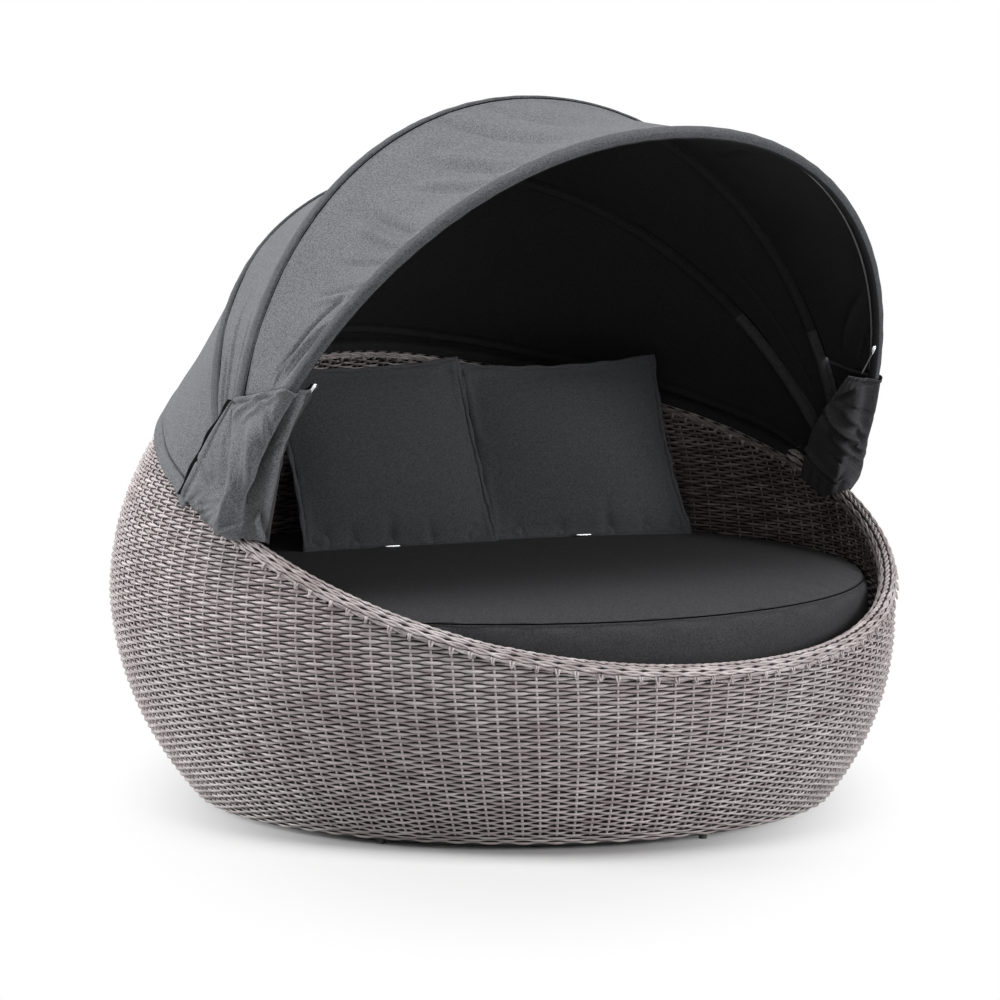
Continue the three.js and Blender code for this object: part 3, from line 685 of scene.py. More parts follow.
# The seat cushion: a boxed round pad with a crowned top, a side band and a seam between them
def seat_cushion():
    angle = turns(CUSHION_COLUMNS)
    top = np.array([*TOP_SHARES, *(0.06 * k for k in range(10, 0, -1))])
    crown = CUSHION_SEAM + (CUSHION_CROWN - CUSHION_SEAM) * (1 - top**4) ** 0.8 - (top > 0.98)
    profile = [(CUSHION_RADIUS * share, CUSHION_BOTTOM) for share in UNDER_SHARES]
    profile += [(CUSHION_RADIUS - inset, CUSHION_BOTTOM + height) for inset, height in BAND]
    profile += [(CUSHION_RADIUS - inset, CUSHION_SEAM + height) for inset, height in GROOVE]
    profile += zip(CUSHION_RADIUS * top, crown)
    radius, z = np.array(profile).T[..., None]
    centres = [[0, BOWL_CENTRE_Y, CUSHION_BOTTOM], [0, BOWL_CENTRE_Y, CUSHION_CROWN]]
    points = np.concatenate([ring_point(radius, angle, z).reshape(-1, 3), centres])
    faces = tube_faces(1, len(profile), CUSHION_COLUMNS).tolist()
    low = len(profile) * CUSHION_COLUMNS
    last = low - CUSHION_COLUMNS
    for i in range(CUSHION_COLUMNS):
        j = (i + 1) % CUSHION_COLUMNS
        faces += [[low, j, i], [low + 1, last + i, last + j]]
    pad = add_mesh("seat_cushion_pad", points, faces, [CUSHION_CLOTH])
    ring = np.arange(len(points)) // CUSHION_COLUMNS
    held = np.isin(ring, HELD_RINGS)
    held[low] = True
    swell(pad, held, 0.012, 1.2, 8)
    subdivide(pad)
    dress(pad, "base", "seat_cushion")

    # A black cord along the seam paints the shade in its groove.
    line = ring_point(CUSHION_RADIUS - 4.6, angle, CUSHION_SEAM + 0.6)
    outward = np.stack([np.sin(angle), -np.cos(angle), 0 * angle], -1)
    cord = tube_points(line, np.array([0, 0, 1]), outward, 1.5, 1.5, 6)
    dress(add_ring("seat_cushion_seam", cord, PAINTED_SHADE_BLACK), "base")


seat_cushion()

# Each pillow's corners from the bottom left, anticlockwise as seen from the front, how far its
# left and right edges are drawn in at mid height, and its pleats: each one's share of the
# width and of the height, its tilt and its depth
PILLOWS = {
    "pillow_left": {
        "corners": [(-318, 332, 524), (146, 219, 524), (100, 322, 952), (-369, 426, 947)],
        "drawn_in": (16, 4),
        "pleats": [
            (0.10, 0.16, 0.1, 11.9),
            (0.26, 0.13, -0.1, 10.2),
            (0.44, 0.22, 0.05, 13.6),
            (0.66, 0.18, -0.08, 10.2),
            (0.86, 0.14, 0.3, 10.2),
        ],
    },
    "pillow_right": {
        "corners": [(147, 246, 526), (628, 122, 522), (600, 235, 937), (124, 356, 931)],
        "drawn_in": (-10, 16),
        "pleats": [
            (0.12, 0.15, 0.2, 11.9),
            (0.34, 0.13, 0.0, 10.2),
            (0.58, 0.24, 0.06, 13.6),
            (0.78, 0.16, -0.1, 10.2),
            (0.92, 0.14, 0.2, 10.2),
        ],
    },
}
PILLOW_WIDTH = 470
PILLOW_STEPS = 44
PLEAT_WIDTH = 9
FLANGE = 6.5
FLANGE_SECTION = [(0, 2.4), (0.55, 1.9), (0.94, 1.7), (1, 0), (0.94, -1.7), (0.55, -1.9), (0, -2.4)]
UPRIGHT_PULL = 16
TAB_PLACE = (np.array([0.4, 0.48]), np.array([0.016, 0.016]))
TAB_REACH = 18
TAB_HALF = (1.4, 3.2)


# Points over a pillow's middle surface at shares u across and v up, and the direction back.
def pillow_place(spec, u, v):
    low_left, low_right, top_right, top_left = np.array(spec["corners"], float)
    left, right = spec["drawn_in"]
    u, v = u[..., None], v[..., None]
    middle = lerp(lerp(low_left, low_right, u), lerp(top_left, top_right, u), v)
    middle = middle + unit(low_right - low_left) * (left * (1 - u) - right * u) * 4 * v * (1 - v)
    middle = middle + unit(top_left - low_left) * UPRIGHT_PULL * 4 * u * (1 - u) * v * (1 - 2 * v)
    return middle, -unit(np.cross(top_right - low_left, top_left - low_right))


def pillow(name, spec):
    t = np.linspace(0, 1, PILLOW_STEPS + 1)
    inset = FLANGE / PILLOW_WIDTH
    reach = 0.35 * inset
    middle, back = pillow_place(spec, *np.meshgrid(*2 * [lerp(reach, 1 - reach, t)], indexing="ij"))
    a, b = np.meshgrid(t, t, indexing="ij")
    plump = back * (0.45 * PILLOW_THICKNESS * (16 * a * (1 - a) * b * (1 - b)) ** 0.48)[..., None]
    edge = np.zeros(a.shape, bool)
    edge[[0, -1]] = edge[:, [0, -1]] = True
    index = np.arange(a.size).reshape(a.shape)
    other = index.copy()
    other[~edge] = a.size + np.arange((~edge).sum())
    points = np.concatenate([(middle + plump).reshape(-1, 3), (middle - plump)[~edge]])
    faces = np.concatenate([grid_quads(index), grid_quads(other)[:, ::-1]])
    pad = add_mesh(name + "_pad", points, faces, [PILLOW_CLOTH])
    held = np.zeros(len(points), bool)
    held[index[edge]] = True
    swell(pad, held, 0.02, 3.0, 26)
    co = coordinates(pad) / MM
    across, upright = (np.concatenate([share.ravel(), share[~edge]]) for share in (a, b))
    rear_side = np.where(np.arange(len(co)) < a.size, 1, -1)
    for place, height, tilt, depth in spec["pleats"]:
        offset = (across - place - tilt * upright) * PILLOW_WIDTH
        fade = np.clip(1 - upright / height, 0, 1) * smooth(upright, 0, 0.03)
        co -= back * (depth * bell(offset, 0, PLEAT_WIDTH) * fade * rear_side)[:, None]
    pad.data.vertices.foreach_set("co", (co * MM).ravel())
    subdivide(pad)

    # A flat flange goes round the knife edge outside the seam.
    s = np.arange(PILLOW_STEPS)
    u = np.concatenate([s, 0 * s + PILLOW_STEPS, PILLOW_STEPS - s, 0 * s]) / PILLOW_STEPS
    v = np.roll(u, PILLOW_STEPS)
    inner = pillow_place(spec, lerp(inset, 1 - inset, u), lerp(inset, 1 - inset, v))[0]
    outer = pillow_place(spec, u, v)[0]
    place = np.arange(len(u))
    ripple = 1.9 * np.sin(place * 1.3) + 1.6 * np.sin(place * 0.47)
    outer = outer + back * ripple[:, None] + (outer - inner) * (0.22 * np.sin(place * 0.83))[:, None]
    inner = lerp(inner, outer, -0.6)
    rings = np.stack([lerp(inner, outer, share) + back * height for share, height in FLANGE_SECTION], 1)
    flange = add_ring(name + "_flange", rings, PILLOW_CLOTH)

    # A small zip pull lies along the front of the bottom seam.
    start, end = pillow_place(spec, *TAB_PLACE)[0]
    t = np.linspace(0, 1, 9)
    line = lerp(start, end, t[:, None]) - back * TAB_REACH
    side = unit(np.cross(-back, unit(end - start)))
    half = TAB_HALF[1] * np.sqrt(np.clip(1 - np.abs(2 * t - 1) ** 5, 0.08, 1))
    tab = add_tube(name + "_zip_pull", tube_points(line, -back, side, TAB_HALF[0], half, 8), ZIP_METAL)

    dress(pad, "base", name)
    dress(flange, "base")
    dress(tab, "base")


for name, spec in PILLOWS.items():
    pillow(name, spec)


# The canopy. A turn of 0 is a bow's right foot and half a turn its left foot.
def bow_point(bow, turn, outwards=0.0):
    power = 2 / bow["power"]
    across = np.cos(turn)
    width = (bow["half_width"] + outwards) * np.sign(across) * np.abs(across) ** power
    rise = (bow["height"] + outwards) * np.abs(np.sin(turn)) ** power
    lean = bow["tilt"] * DEG
    return np.stack([width, PIVOT_Y - rise * math.sin(lean), PIVOT_Z + rise * math.cos(lean)], -1)


def turn_at(bow, rise):
    return math.asin((rise / bow["height"]) ** (bow["power"] / 2))


def bow_normal(bow):
    lean = bow["tilt"] * DEG
    return np.array([0, -math.cos(lean), -math.sin(lean)])


# Points along a bow from a rise on its right to the same rise on its left, with the
# directions forwards and outwards
def along_bow(bow, rise, stations, outwards=0.0):
    start = turn_at(bow, rise)
    line = bow_point(bow, lerp(start, math.pi - start, np.linspace(0, 1, stations)), outwards)
    forward = bow_normal(bow)
    return line, forward, unit(np.cross(unit(np.gradient(line, axis=0)), forward))


def lean_of(points):
    return np.arctan2(PIVOT_Y - points[..., 1], points[..., 2] - PIVOT_Z) / DEG


EDGE_OUTWARDS = 5.5
EDGE_BESIDE = 8.0


# A panel's edge in the side of a bow's sleeve, from its rise on the right to its rise on the left.
def bow_edge(bow, rises, u, side):
    turn = lerp(turn_at(bow, rises[0]), math.pi - turn_at(bow, rises[1]), u)
    return bow_point(bow, turn, EDGE_OUTWARDS) + bow_normal(bow) * (EDGE_BESIDE * side)


# A smooth curve through points[knot, ...] at the given places.
def through(knots, points, at):
    knots, points, at = (np.asarray(v, float) for v in (knots, points, at))
    slopes = np.gradient(points, knots, axis=0)
    piece = np.clip(np.searchsorted(knots, at, side="right") - 1, 0, len(knots) - 2)
    shape = (-1,) + (1,) * (points.ndim - 1)
    gap = (knots[piece + 1] - knots[piece]).reshape(shape)
    t = (at - knots[piece]).reshape(shape) / gap
    near = points[piece] * (1 + 2 * t) + slopes[piece] * gap * t
    far = points[piece + 1] * (3 - 2 * t) - slopes[piece + 1] * gap * (1 - t)
    return near * (1 - t) ** 2 + far * t * t


# Cloth between two edges, sagging towards the pivots.
def hung_grid(back, front, rows, sag_ratio):
    v = rows[None, :, None]
    grid = lerp(back[:, None], front[:, None], v)
    sag = sag_ratio * np.linalg.norm(front - back, axis=-1)[:, None, None]
    inwards = PIVOT - grid
    inwards[..., 0] = -0.4 * grid[..., 0]
    return grid + unit(inwards) * sag * 4 * v * (1 - v)


def grid_normals(grid, centre=PIVOT):
    normals = unit(np.cross(np.gradient(grid, axis=0), np.gradient(grid, axis=1)))
    outward = np.sum(normals * (grid - centre), -1).mean()
    return normals if outward > 0 else -normals


# Soft creases over a grid, each from one place to another in distances along and across it,
# with its half width and its height, and fading towards both ends
def creased(along_grid, across_grid, creases):
    total = np.zeros(along_grid.shape)
    for ua, va, ub, vb, width, height in creases:
        length = math.hypot(ub - ua, vb - va)
        du, dv = (ub - ua) / length, (vb - va) / length
        along = (along_grid - ua) * du + (across_grid - va) * dv
        beside = -(along_grid - ua) * dv + (across_grid - va) * du
        fade = smooth(along, 0, 0.35 * length) * (1 - smooth(along, 0.65 * length, length))
        total += height * fade * bell(beside, 0, width)
    return total


def grid_steps(grid, axis):
    return np.linalg.norm(np.diff(grid, axis=axis), axis=-1)


# The width, length and area in metres of the cloth that a smooth grid stands for
def flat_cut(grid):
    width = grid_steps(grid, 1).sum(1).max() * MM
    length = grid_steps(grid, 0).sum(0).max() * MM
    corner = grid[:-1, :-1]
    area = np.linalg.norm(np.cross(grid[1:, :-1] - corner, grid[:-1, 1:] - corner), axis=-1).sum() * MM * MM
    return (round(width, 3), round(length, 3)), round(min(area, width * length), 3)


# Cloth of some thickness over a grid. Its materials are for its outside and its inside, whose default is the
# canopy's painted inside shade, and outside gives each outer face's material where it has more.
def cloth_sheet(name, grid, normals, thickness=CLOTH, materials=(CANOPY_CLOTH, CANOPY_INSIDE_SHADE), outside=0):
    offset = normals * (np.asarray(thickness)[..., None] / 2)
    points = np.concatenate([(grid + offset).reshape(-1, 3), (grid - offset).reshape(-1, 3)])
    size = grid[..., 0].size
    index = np.arange(size).reshape(grid.shape[:2])
    border = np.concatenate([index[:, 0], index[-1, 1:], index[-2::-1, -1], index[0, -2:0:-1]])
    following = np.roll(border, -1)
    quads = grid_quads(index)
    rim = np.stack([border, following, following + size, border + size], -1)
    corner = grid[0, 0]
    if np.dot(np.cross(grid[1, 0] - corner, grid[0, 1] - corner), normals[0, 0]) < 0:
        quads = quads[:, ::-1]
    else:
        rim = rim[:, ::-1]
    which = np.repeat([0, 1, 0], [len(quads), len(quads), len(rim)])
    which[: len(quads)] = outside
    return add_mesh(name, points, np.concatenate([quads, quads[:, ::-1] + size, rim]), materials, which)


# Cloth between two bodies: a share of the turn for each point comes from its angle about the pivot, not from
# its distance along a line, but nothing uses it; the piece's transform is baked into its mesh.
def fan(piece, body_a, body_b, shares=None):
    if shares is None:
        start, end = BOWS[body_a]["tilt"], BOWS[body_b]["tilt"]
        shares = (lean_of(coordinates(piece) / MM) - start) / (end - start)
    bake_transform(piece)


COLUMN_PLACES = np.linspace(0, 1, 301)
EDGE_ROWS = np.array([0, 0.012, 0.024, 0.036, 0.048])
SHEET_ROWS = np.concatenate([EDGE_ROWS, np.linspace(0.06, 0.94, 72), 1 - EDGE_ROWS[::-1]])

# Each panel between two bows: the bow behind it and the one before it, each with its seam's
# rises on the right and left, and how far the panel sags
FRONT_PANEL = (MID_BOW, (SEAM_MID, SEAM_MID), FRONT_BOW, (SEAM_FRONT_RIGHT, SEAM_FRONT_LEFT), 0.035)
START_RISES = (CLOTH_START, CLOTH_START)
MID_PANEL = (REAR_BOW, START_RISES, MID_BOW, START_RISES, 0.02)

# Creases in shares of a panel's length and width, from one place to another, with the half
# width and the height that CREASE_HEIGHT multiplies
CREASE_HEIGHT = 1.9
FRONT_CREASES = (
    (0.992, 0.45, 0.87, 0.97, 12, -6), (0.992, 0.62, 0.91, 1.02, 8, 6),
    (0.996, 0.72, 0.93, 1.0, 6, -6), (0.998, 0.55, 0.95, 0.75, 6, 5),
    (0.595, -0.1, 0.602, 0.95, 14, 6), (0.611, -0.1, 0.618, 0.95, 12, -6),
    (0.672, 0.25, 0.676, 1.05, 13, 6), (0.686, 0.25, 0.692, 1.05, 11, -6),
    (0.722, 0.4, 0.72, 1.05, 12, 5), (0.736, 0.4, 0.733, 1.05, 10, -5),
    (0.775, 0.25, 0.818, 1.1, 16, -8), (0.792, 0.25, 0.836, 1.1, 14, 7),
    (0.846, 0.4, 0.85, 1.08, 8, -4.5), (0.893, 0.45, 0.876, 1.08, 8, -4),
    (0.903, 0.45, 0.888, 1.08, 8, 4), (0.56, -0.05, 0.545, 0.6, 9, -2.5),
    (0.545, -0.05, 0.53, 0.55, 9, 2.5), (0.015, 0.40, 0.12, 0.98, 14, -5),
    (0.01, 0.7, 0.08, 1.0, 10, 6), (0.30, 0.25, 0.36, 0.8, 12, 3),
)
MID_CREASES = (
    (0.99, 0.5, 0.80, 0.35, 7, 4), (0.985, 0.7, 0.84, 0.75, 6, -4),
    (0.97, 0.3, 0.86, 0.2, 6, 4), (0.01, 0.5, 0.20, 0.4, 9, 3),
    (0.5, 0.1, 0.56, 0.9, 12, 2.5), (0.42, 0.1, 0.46, 0.9, 9, -2.5),
)


def panel_grid(panel, u, rows):
    back, back_rises, front, front_rises, sag = panel
    return hung_grid(bow_edge(back, back_rises, u, 1), bow_edge(front, front_rises, u, -1), rows, sag)


def bow_panel(name, panel, creases, ruffles, seed):
    grid = panel_grid(panel, COLUMN_PLACES, SHEET_ROWS)
    flat, area = flat_cut(grid)
    width, length = np.array(flat) / MM
    U, V = np.meshgrid(COLUMN_PLACES * length, SHEET_ROWS * width, indexing="ij")
    lift = creased(U, V, np.array(creases) * [length, width, length, width, 1, CREASE_HEIGHT])
    waves = np.random.default_rng(seed)
    for _ in range(ruffles):
        bearing, pitch = waves.uniform(-0.5, 0.5), waves.uniform(160, 420)
        height = waves.uniform(0.5, 1.2)
        distance = U * math.cos(bearing) + V * math.sin(bearing)
        lift += height * np.sin(2 * np.pi * distance / pitch + waves.uniform(0, 6.3))
    quiet = smooth(SHEET_ROWS, 0, 0.09) * (1 - smooth(SHEET_ROWS, 0.91, 1))
    grid = grid + grid_normals(grid) * (lift * quiet)[..., None]
    return cloth_sheet(name, grid, grid_normals(grid)), flat, area


front_panel, front_flat, front_area = bow_panel("canopy_front_sheet", FRONT_PANEL, FRONT_CREASES, 8, 3)
mid_panel, mid_flat, mid_area = bow_panel("canopy_mid_sheet", MID_PANEL, MID_CREASES, 6, 5)

# The rear panel runs down on to the border, and its broad hem hangs over the border's outer side.
HEM_START = 89.5 * DEG
HEM_REACH = BORDER_RADIUS + 4.2
HEM_WIDTH = 42
HEM_THICKNESS = 1.2


def rear_sheet():
    u = COLUMN_PLACES
    angle = lerp(HEM_START, 2 * math.pi - HEM_START, u)
    top = bow_edge(REAR_BOW, START_RISES, u, -1)
    centre, out, up, _ = rim_frame(angle)
    away, high = np.sum((top - centre) * out, -1), np.sum((top - centre) * up, -1)
    touch = np.arctan2(high, away) - np.arccos(HEM_REACH / np.hypot(away, high))
    section = lerp(touch[:, None], 0.0, np.linspace(0, 1, 12))
    corner = 1 - smooth(np.minimum(u, 1 - u), 0.0, 0.035)
    hang = np.array([3, 6, 9]) * (1 + 1.9 * corner[:, None])
    x = np.concatenate([HEM_REACH * np.cos(section), 0 * hang + HEM_REACH], 1)
    y = np.concatenate([HEM_REACH * np.sin(section), -hang], 1)
    lap = rim_point(angle[:, None], x, y)
    rows = np.concatenate([EDGE_ROWS, 1 - (1 - np.linspace(0.035, 1, 76)[:-1]) ** 1.8])
    grid = np.concatenate([hung_grid(top, lap[:, 0], rows, 0.012), lap], 1)
    flat, area = flat_cut(grid)
    lengths = np.concatenate([np.zeros((len(u), 1)), np.cumsum(grid_steps(grid, 1), 1)], 1)
    from_hem = lengths[:, -1:] - lengths
    U = (u * flat[1] / MM)[:, None]
    lift = 4 * np.minimum(1, lengths[:, -1:] / 260) * bell(from_hem, 120, 60)
    lift += 1.6 * np.sin(U / 58) * np.exp(-from_hem / 120) + 0.6 * np.sin(U / 23 + 1) * np.exp(-from_hem / 40)
    lift += 1.8 * np.sin(U / 140 + lengths / 90) + 1.1 * np.sin(U / 61 - lengths / 47)
    lift += 3.6 * bell(from_hem, 56, 7) - 5.5 * bell(from_hem, 44, 4.5)
    low = np.where(from_hem < 30, np.maximum(lift, 0.0), lift) * smooth(lengths, 2, 40)
    grid = grid + grid_normals(grid) * low[..., None]
    thickness = CLOTH + HEM_THICKNESS * (from_hem < HEM_WIDTH)
    piece = cloth_sheet("canopy_rear_sheet", grid, grid_normals(grid), thickness)
    lean = lean_of(grid)
    shares = ((lean - lean[:, -1:]) / (lean[:, :1] - lean[:, -1:])).ravel()
    return piece, flat, area, np.concatenate([shares, shares])


rear_panel, rear_flat, rear_area, rear_shares = rear_sheet()


# Under the rear panel a strip of the cloth is bound over the border and down its inner side, dark on both
# faces as painted shade.
def rear_binding():
    start = HEM_START - 1.5 * DEG
    angle = lerp(start, 2 * math.pi - start, COLUMN_PLACES)[:, None]
    section = np.linspace(12, 138, 30) * DEG
    ripple = 0.5 * np.sin(angle * 61 + section * 2) + 0.4 * np.sin(angle * 23)
    reach = BORDER_RADIUS + 1.6 + 9 * bell(section, 110 * DEG, 25 * DEG)
    reach = reach + ripple * smooth(section, 60 * DEG, 120 * DEG)
    reach = reach - 1.6 * bell(section, 124 * DEG, 4 * DEG)
    centre, out, up, _ = rim_frame(angle)
    radial = out * np.cos(section)[:, None] + up * np.sin(section)[:, None]
    grid = centre + radial * reach[..., None]
    return cloth_sheet("canopy_rear_binding", grid, radial, CLOTH, (CANOPY_INSIDE_SHADE, CANOPY_INSIDE_SHADE))


binding = dress(rear_binding(), "base")

SLEEVE_RADIUS = 12.4
SLEEVE_THICKNESS = 1.5
SLEEVE_SIDES = 20
SLEEVE_STATIONS = 140
SEAM_CORD = 1.5


# A sleeve of cloth round a bow, drawn out to a tail where a panel joins it, in the darker sleeve cloth that
# paints its shade.
# Its inner part has painted shade: the canopy inside's dark down to paler_shade_rise above the pivot, and the
# shaded cloth below.
def sleeve(name, body, tails, painted_shade_below, paler_shade_rise):
    line, forward, outward = along_bow(BOWS[body], SLEEVE_START, SLEEVE_STATIONS)
    section = turns(SLEEVE_SIDES)
    u = np.linspace(0, 1, SLEEVE_STATIONS)[:, None]
    reach = 0.35 * np.sin(u * 610 + 2 * section) + 0.3 * np.sin(u * 233 - section)
    for tail in tails:
        turn_off = (section - tail * DEG + np.pi) % (2 * np.pi) - np.pi
        reach = reach + 5 * bell(turn_off, 0, 14 * DEG)
    radial = forward * np.cos(section)[:, None] + outward[:, None] * np.sin(section)[:, None]
    reach = np.stack([SLEEVE_RADIUS + reach, SLEEVE_RADIUS - SLEEVE_THICKNESS + reach])
    layers = line[:, None] + radial * reach[..., None]
    size = SLEEVE_STATIONS * SLEEVE_SIDES
    quads = tube_faces(1, SLEEVE_STATIONS, SLEEVE_SIDES)
    station, side = np.divmod(np.arange(len(quads)), SLEEVE_SIDES)
    rise = np.hypot(line[:, 1] - PIVOT_Y, line[:, 2] - PIVOT_Z)[station]
    which = np.where(np.sin(section[side]) < painted_shade_below, np.where(rise > paler_shade_rise, 1, 2), 0)
    which = np.concatenate([which, np.ones(len(quads) + 2 * SLEEVE_SIDES, int)])
    first = np.arange(SLEEVE_SIDES)
    rim = np.stack([first, np.roll(first, -1), np.roll(first, -1) + size, first + size], 1)
    faces = np.concatenate([quads, quads[:, ::-1] + size, rim, rim[:, ::-1] + size - SLEEVE_SIDES])
    piece = add_mesh(name, layers, faces, [SHADED_SLEEVE_CLOTH, CANOPY_INSIDE_SHADE, SHADED_CLOTH], which)
    return dress(piece, body)


# The seam beside a sleeve: a thin cord in the corner between the sleeve's tail and the panel. Three cords are
# black, painted shade in that corner, and the front bow's is pale, a painted highlight.
def seam_cord(name, body, forwards, outwards, material):
    line, forward, outward = along_bow(BOWS[body], SEAM_MID, 160, outwards)
    tube = tube_points(line + forward * forwards, forward, outward, SEAM_CORD, SEAM_CORD, 6)
    dress(add_tube(name, tube, material), body)


seam_cord("mid_bow_front_seam", "mid_hoop", 16, 4.4, PAINTED_SHADE_BLACK)
seam_cord("mid_bow_rear_seam", "mid_hoop", -16, 4.4, PAINTED_SHADE_BLACK)
seam_cord("rear_bow_front_seam", "rear_hoop", 16, 4.4, PAINTED_SHADE_BLACK)
seam_cord("front_bow_seam", "front_hoop", -16, 5.6, PIPING_HIGHLIGHT_CLOTH)
front_sleeve = sleeve("front_bow_sleeve", "front_hoop", [145], -0.45, 0)
mid_sleeve = sleeve("mid_bow_sleeve", "mid_hoop", [145, 35], 0.3, 330)
rear_sleeve = sleeve("rear_bow_sleeve", "rear_hoop", [145, 35], 0.3, 420)


# A line of pale piping on the inside of the front panel, behind the front bow, as a painted highlight.
def inside_piping(share):
    u = np.linspace(0.004, 0.996, 140)
    grid = panel_grid(FRONT_PANEL, u, np.array([share - 0.01, share, share + 0.01]))
    normals = grid_normals(grid)[:, 1]
    line = grid[:, 1] - normals * 3.0
    across = unit(np.cross(unit(np.gradient(line, axis=0)), normals))
    return add_tube("canopy_inside_piping", tube_points(line, normals, across, 1.9, 2.2, 6), PIPING_HIGHLIGHT_CLOTH)


piping = inside_piping(0.93)

# A boot carries the cloth on from the canopy's side seam down over the pivot and on to the rim.
# It goes round the legs of the bows like a sock. Lines run down it from its free inner edge to
# its rear edge, and each starts at the seam and ends on the border, at an angle round the bowl
# and at distances outwards and upwards. rise is the seam's rise on the front bow. The first
# three lines start at distances outwards and forwards from that bow and pass through places
# given by their share of the way down. The next three follow the bow's leg and pass the pivot.
# The cloth is darker up to the line that shaded_to counts, and creasing multiplies the
# heights in BOOT_CREASES, whose places are over a boot of BOOT_WIDTH by BOOT_HEIGHT.
BOOTS = {
    1: {
        "rise": SEAM_FRONT_RIGHT,
        "inner": ((-69, -8), [(0.42, 766, -160, 800)], (84, -27, -3)),
        "ridge": ((-54, 0), [(0.42, 776, -222, 790)], (79.0, -32, -6)),
        "bulge": ((-36, 6), [(0.42, 789, -262, 788)], (75.4, -27, 12)),
        "valley": ([(-21, 8), (-21, 8), (-20, 9)], (806, -222, 702), (74.4, -4, 27)),
        "front": ([(2, 20), (3, 21), (4, 21)], (842, -226, 690), (74.8, 17, 20)),
        "outer": ([(15, 3), (17, 4), (18, 3)], (871, -188, 674), (77.2, 32, -9)),
        "shaded_to": 5,
        "creasing": 1.3,
    },
    -1: {
        "rise": SEAM_FRONT_LEFT,
        "inner": ((-54, -16), [(0.42, 764, -190, 820)], (84, -27, -3)),
        "ridge": ((-46, 2), [(0.33, 780, -304, 866), (0.62, 786, -278, 780)], (73.7, -3, 27)),
        "bulge": ((-30, 6), [(0.36, 791, -305, 858), (0.62, 799, -282, 785)], (74.4, 11, 25)),
        "valley": ([(-12, 2), (-18, -13), (-19, -9)], (818, -221, 692), (75.6, 22, 17)),
        "front": ([(3, 17), (3, 19), (4, 19)], (848, -212, 680), (77.2, 31, 0)),
        "outer": ([(15, 3), (17, 4), (18, 3)], (871, -184, 674), (79.5, 32, -8)),
        "shaded_to": 1,
        "creasing": 1.15,
    },
}
BOOT_CREASES = {
    1: (
        (-25, 78, 158, 214, 7, 15), (0, 100, 135, 226, 6, -19),
        (-8, 116, 60, 168, 7, -13), (-40, 214, 150, 348, 5, 11),
        (-35, 250, 120, 318, 7, -10), (25, 140, 148, 262, 9, 10),
        (45, 28, 152, 12, 4.5, -7), (-10, 78, 76, 36, 7, -11),
        (5, 72, 166, 108, 6, -9), (40, 82, 150, 165, 8, 8),
        (45, 224, 158, 300, 7, -10),
    ),
    -1: (
        (185, 5, 118, 130, 10, -8), (165, -14, 252, 62, 6, 6),
        (205, -14, 280, 52, 6, 6), (226, -10, 150, 114, 3.5, -5),
        (234, -8, 158, 118, 4, 5), (232, 32, 150, 205, 12, 9),
        (272, 50, 172, 300, 12, 9), (240, 60, 155, 262, 9, -6),
        (344, 145, 282, 246, 4.5, -8), (360, 236, 290, 240, 6, -8),
        (355, 212, 296, 222, 6, 6), (205, 278, 128, 252, 9, -11),
        (195, 304, 138, 264, 7, 8), (305, 306, 205, 366, 6, 8),
        (312, 326, 238, 366, 5, -8), (126, 252, 88, 326, 5, -8),
        (122, 280, 88, 368, 5, 8), (108, 280, 78, 362, 4, -7),
        (108, 60, 100, 310, 8, 5),
    ),
}
LEG_SHARES = (1, 0.62, 0.28)
DOWN_LEG = [0, 0.3, 0.58, 0.82, 1]
BOOT_WIDTH, BOOT_HEIGHT = 350, 350
BOOT_COLUMNS, BOOT_ROWS = 200, 170
BOOT_CENTRE = np.array([600.0, PIVOT_Y + 60, PIVOT_Z + 90])
SMALL_CREASES = 20
SHADOW_STRIP_THICKNESS = 1.2


def beside_leg(bow, rise, outwards, forwards):
    return bow_point(bow, turn_at(bow, rise)) + np.array([outwards, 0, 0]) + bow_normal(bow) * forwards


def on_border(degrees, outwards, upwards):
    return rim_point(degrees * DEG, outwards, upwards)


def free_line(top, start, places, end, v):
    knots = [0] + [share for share, *_ in places] + [1]
    points = [beside_leg(FRONT_BOW, top, *start)] + [place for _, *place in places] + [on_border(*end)]
    return through(knots, points, v)


def leg_line(bow, top, beside, pivot, end, v):
    legs = [beside_leg(bow, top * share, *away) for share, away in zip(LEG_SHARES, beside)]
    return through(DOWN_LEG, legs + [pivot, on_border(*end)], v)


def boot_lines(spec, v):
    top = spec["rise"]
    free = [free_line(top, *spec[key], v) for key in ("inner", "ridge", "bulge")]
    front = [leg_line(FRONT_BOW, top, *spec[key], v) for key in ("valley", "front", "outer")]
    beside = [(14, 0), (17, 0), (20, 0)]
    middle = leg_line(MID_BOW, SEAM_MID, beside, (854, PIVOT_Y + 62, PIVOT_Z + 38), (86.5, 30, -5), v)
    corner = beside_leg(MID_BOW, SEAM_MID + 2, 12, -10)
    rear = through([0, 0.5, 1], [corner, (821, -58, 846), on_border(91, 33, -6)], v)
    slack = (np.sin(np.pi * v) * 8 - 6 * (1 - smooth(v, 0, 0.12)))[:, None] * np.array([1, 0, 0])
    between = [(front[-1] + middle) / 2 + slack, middle, (middle + rear) / 2 + 0.5 * slack]
    return np.stack(free + front + between + [rear])


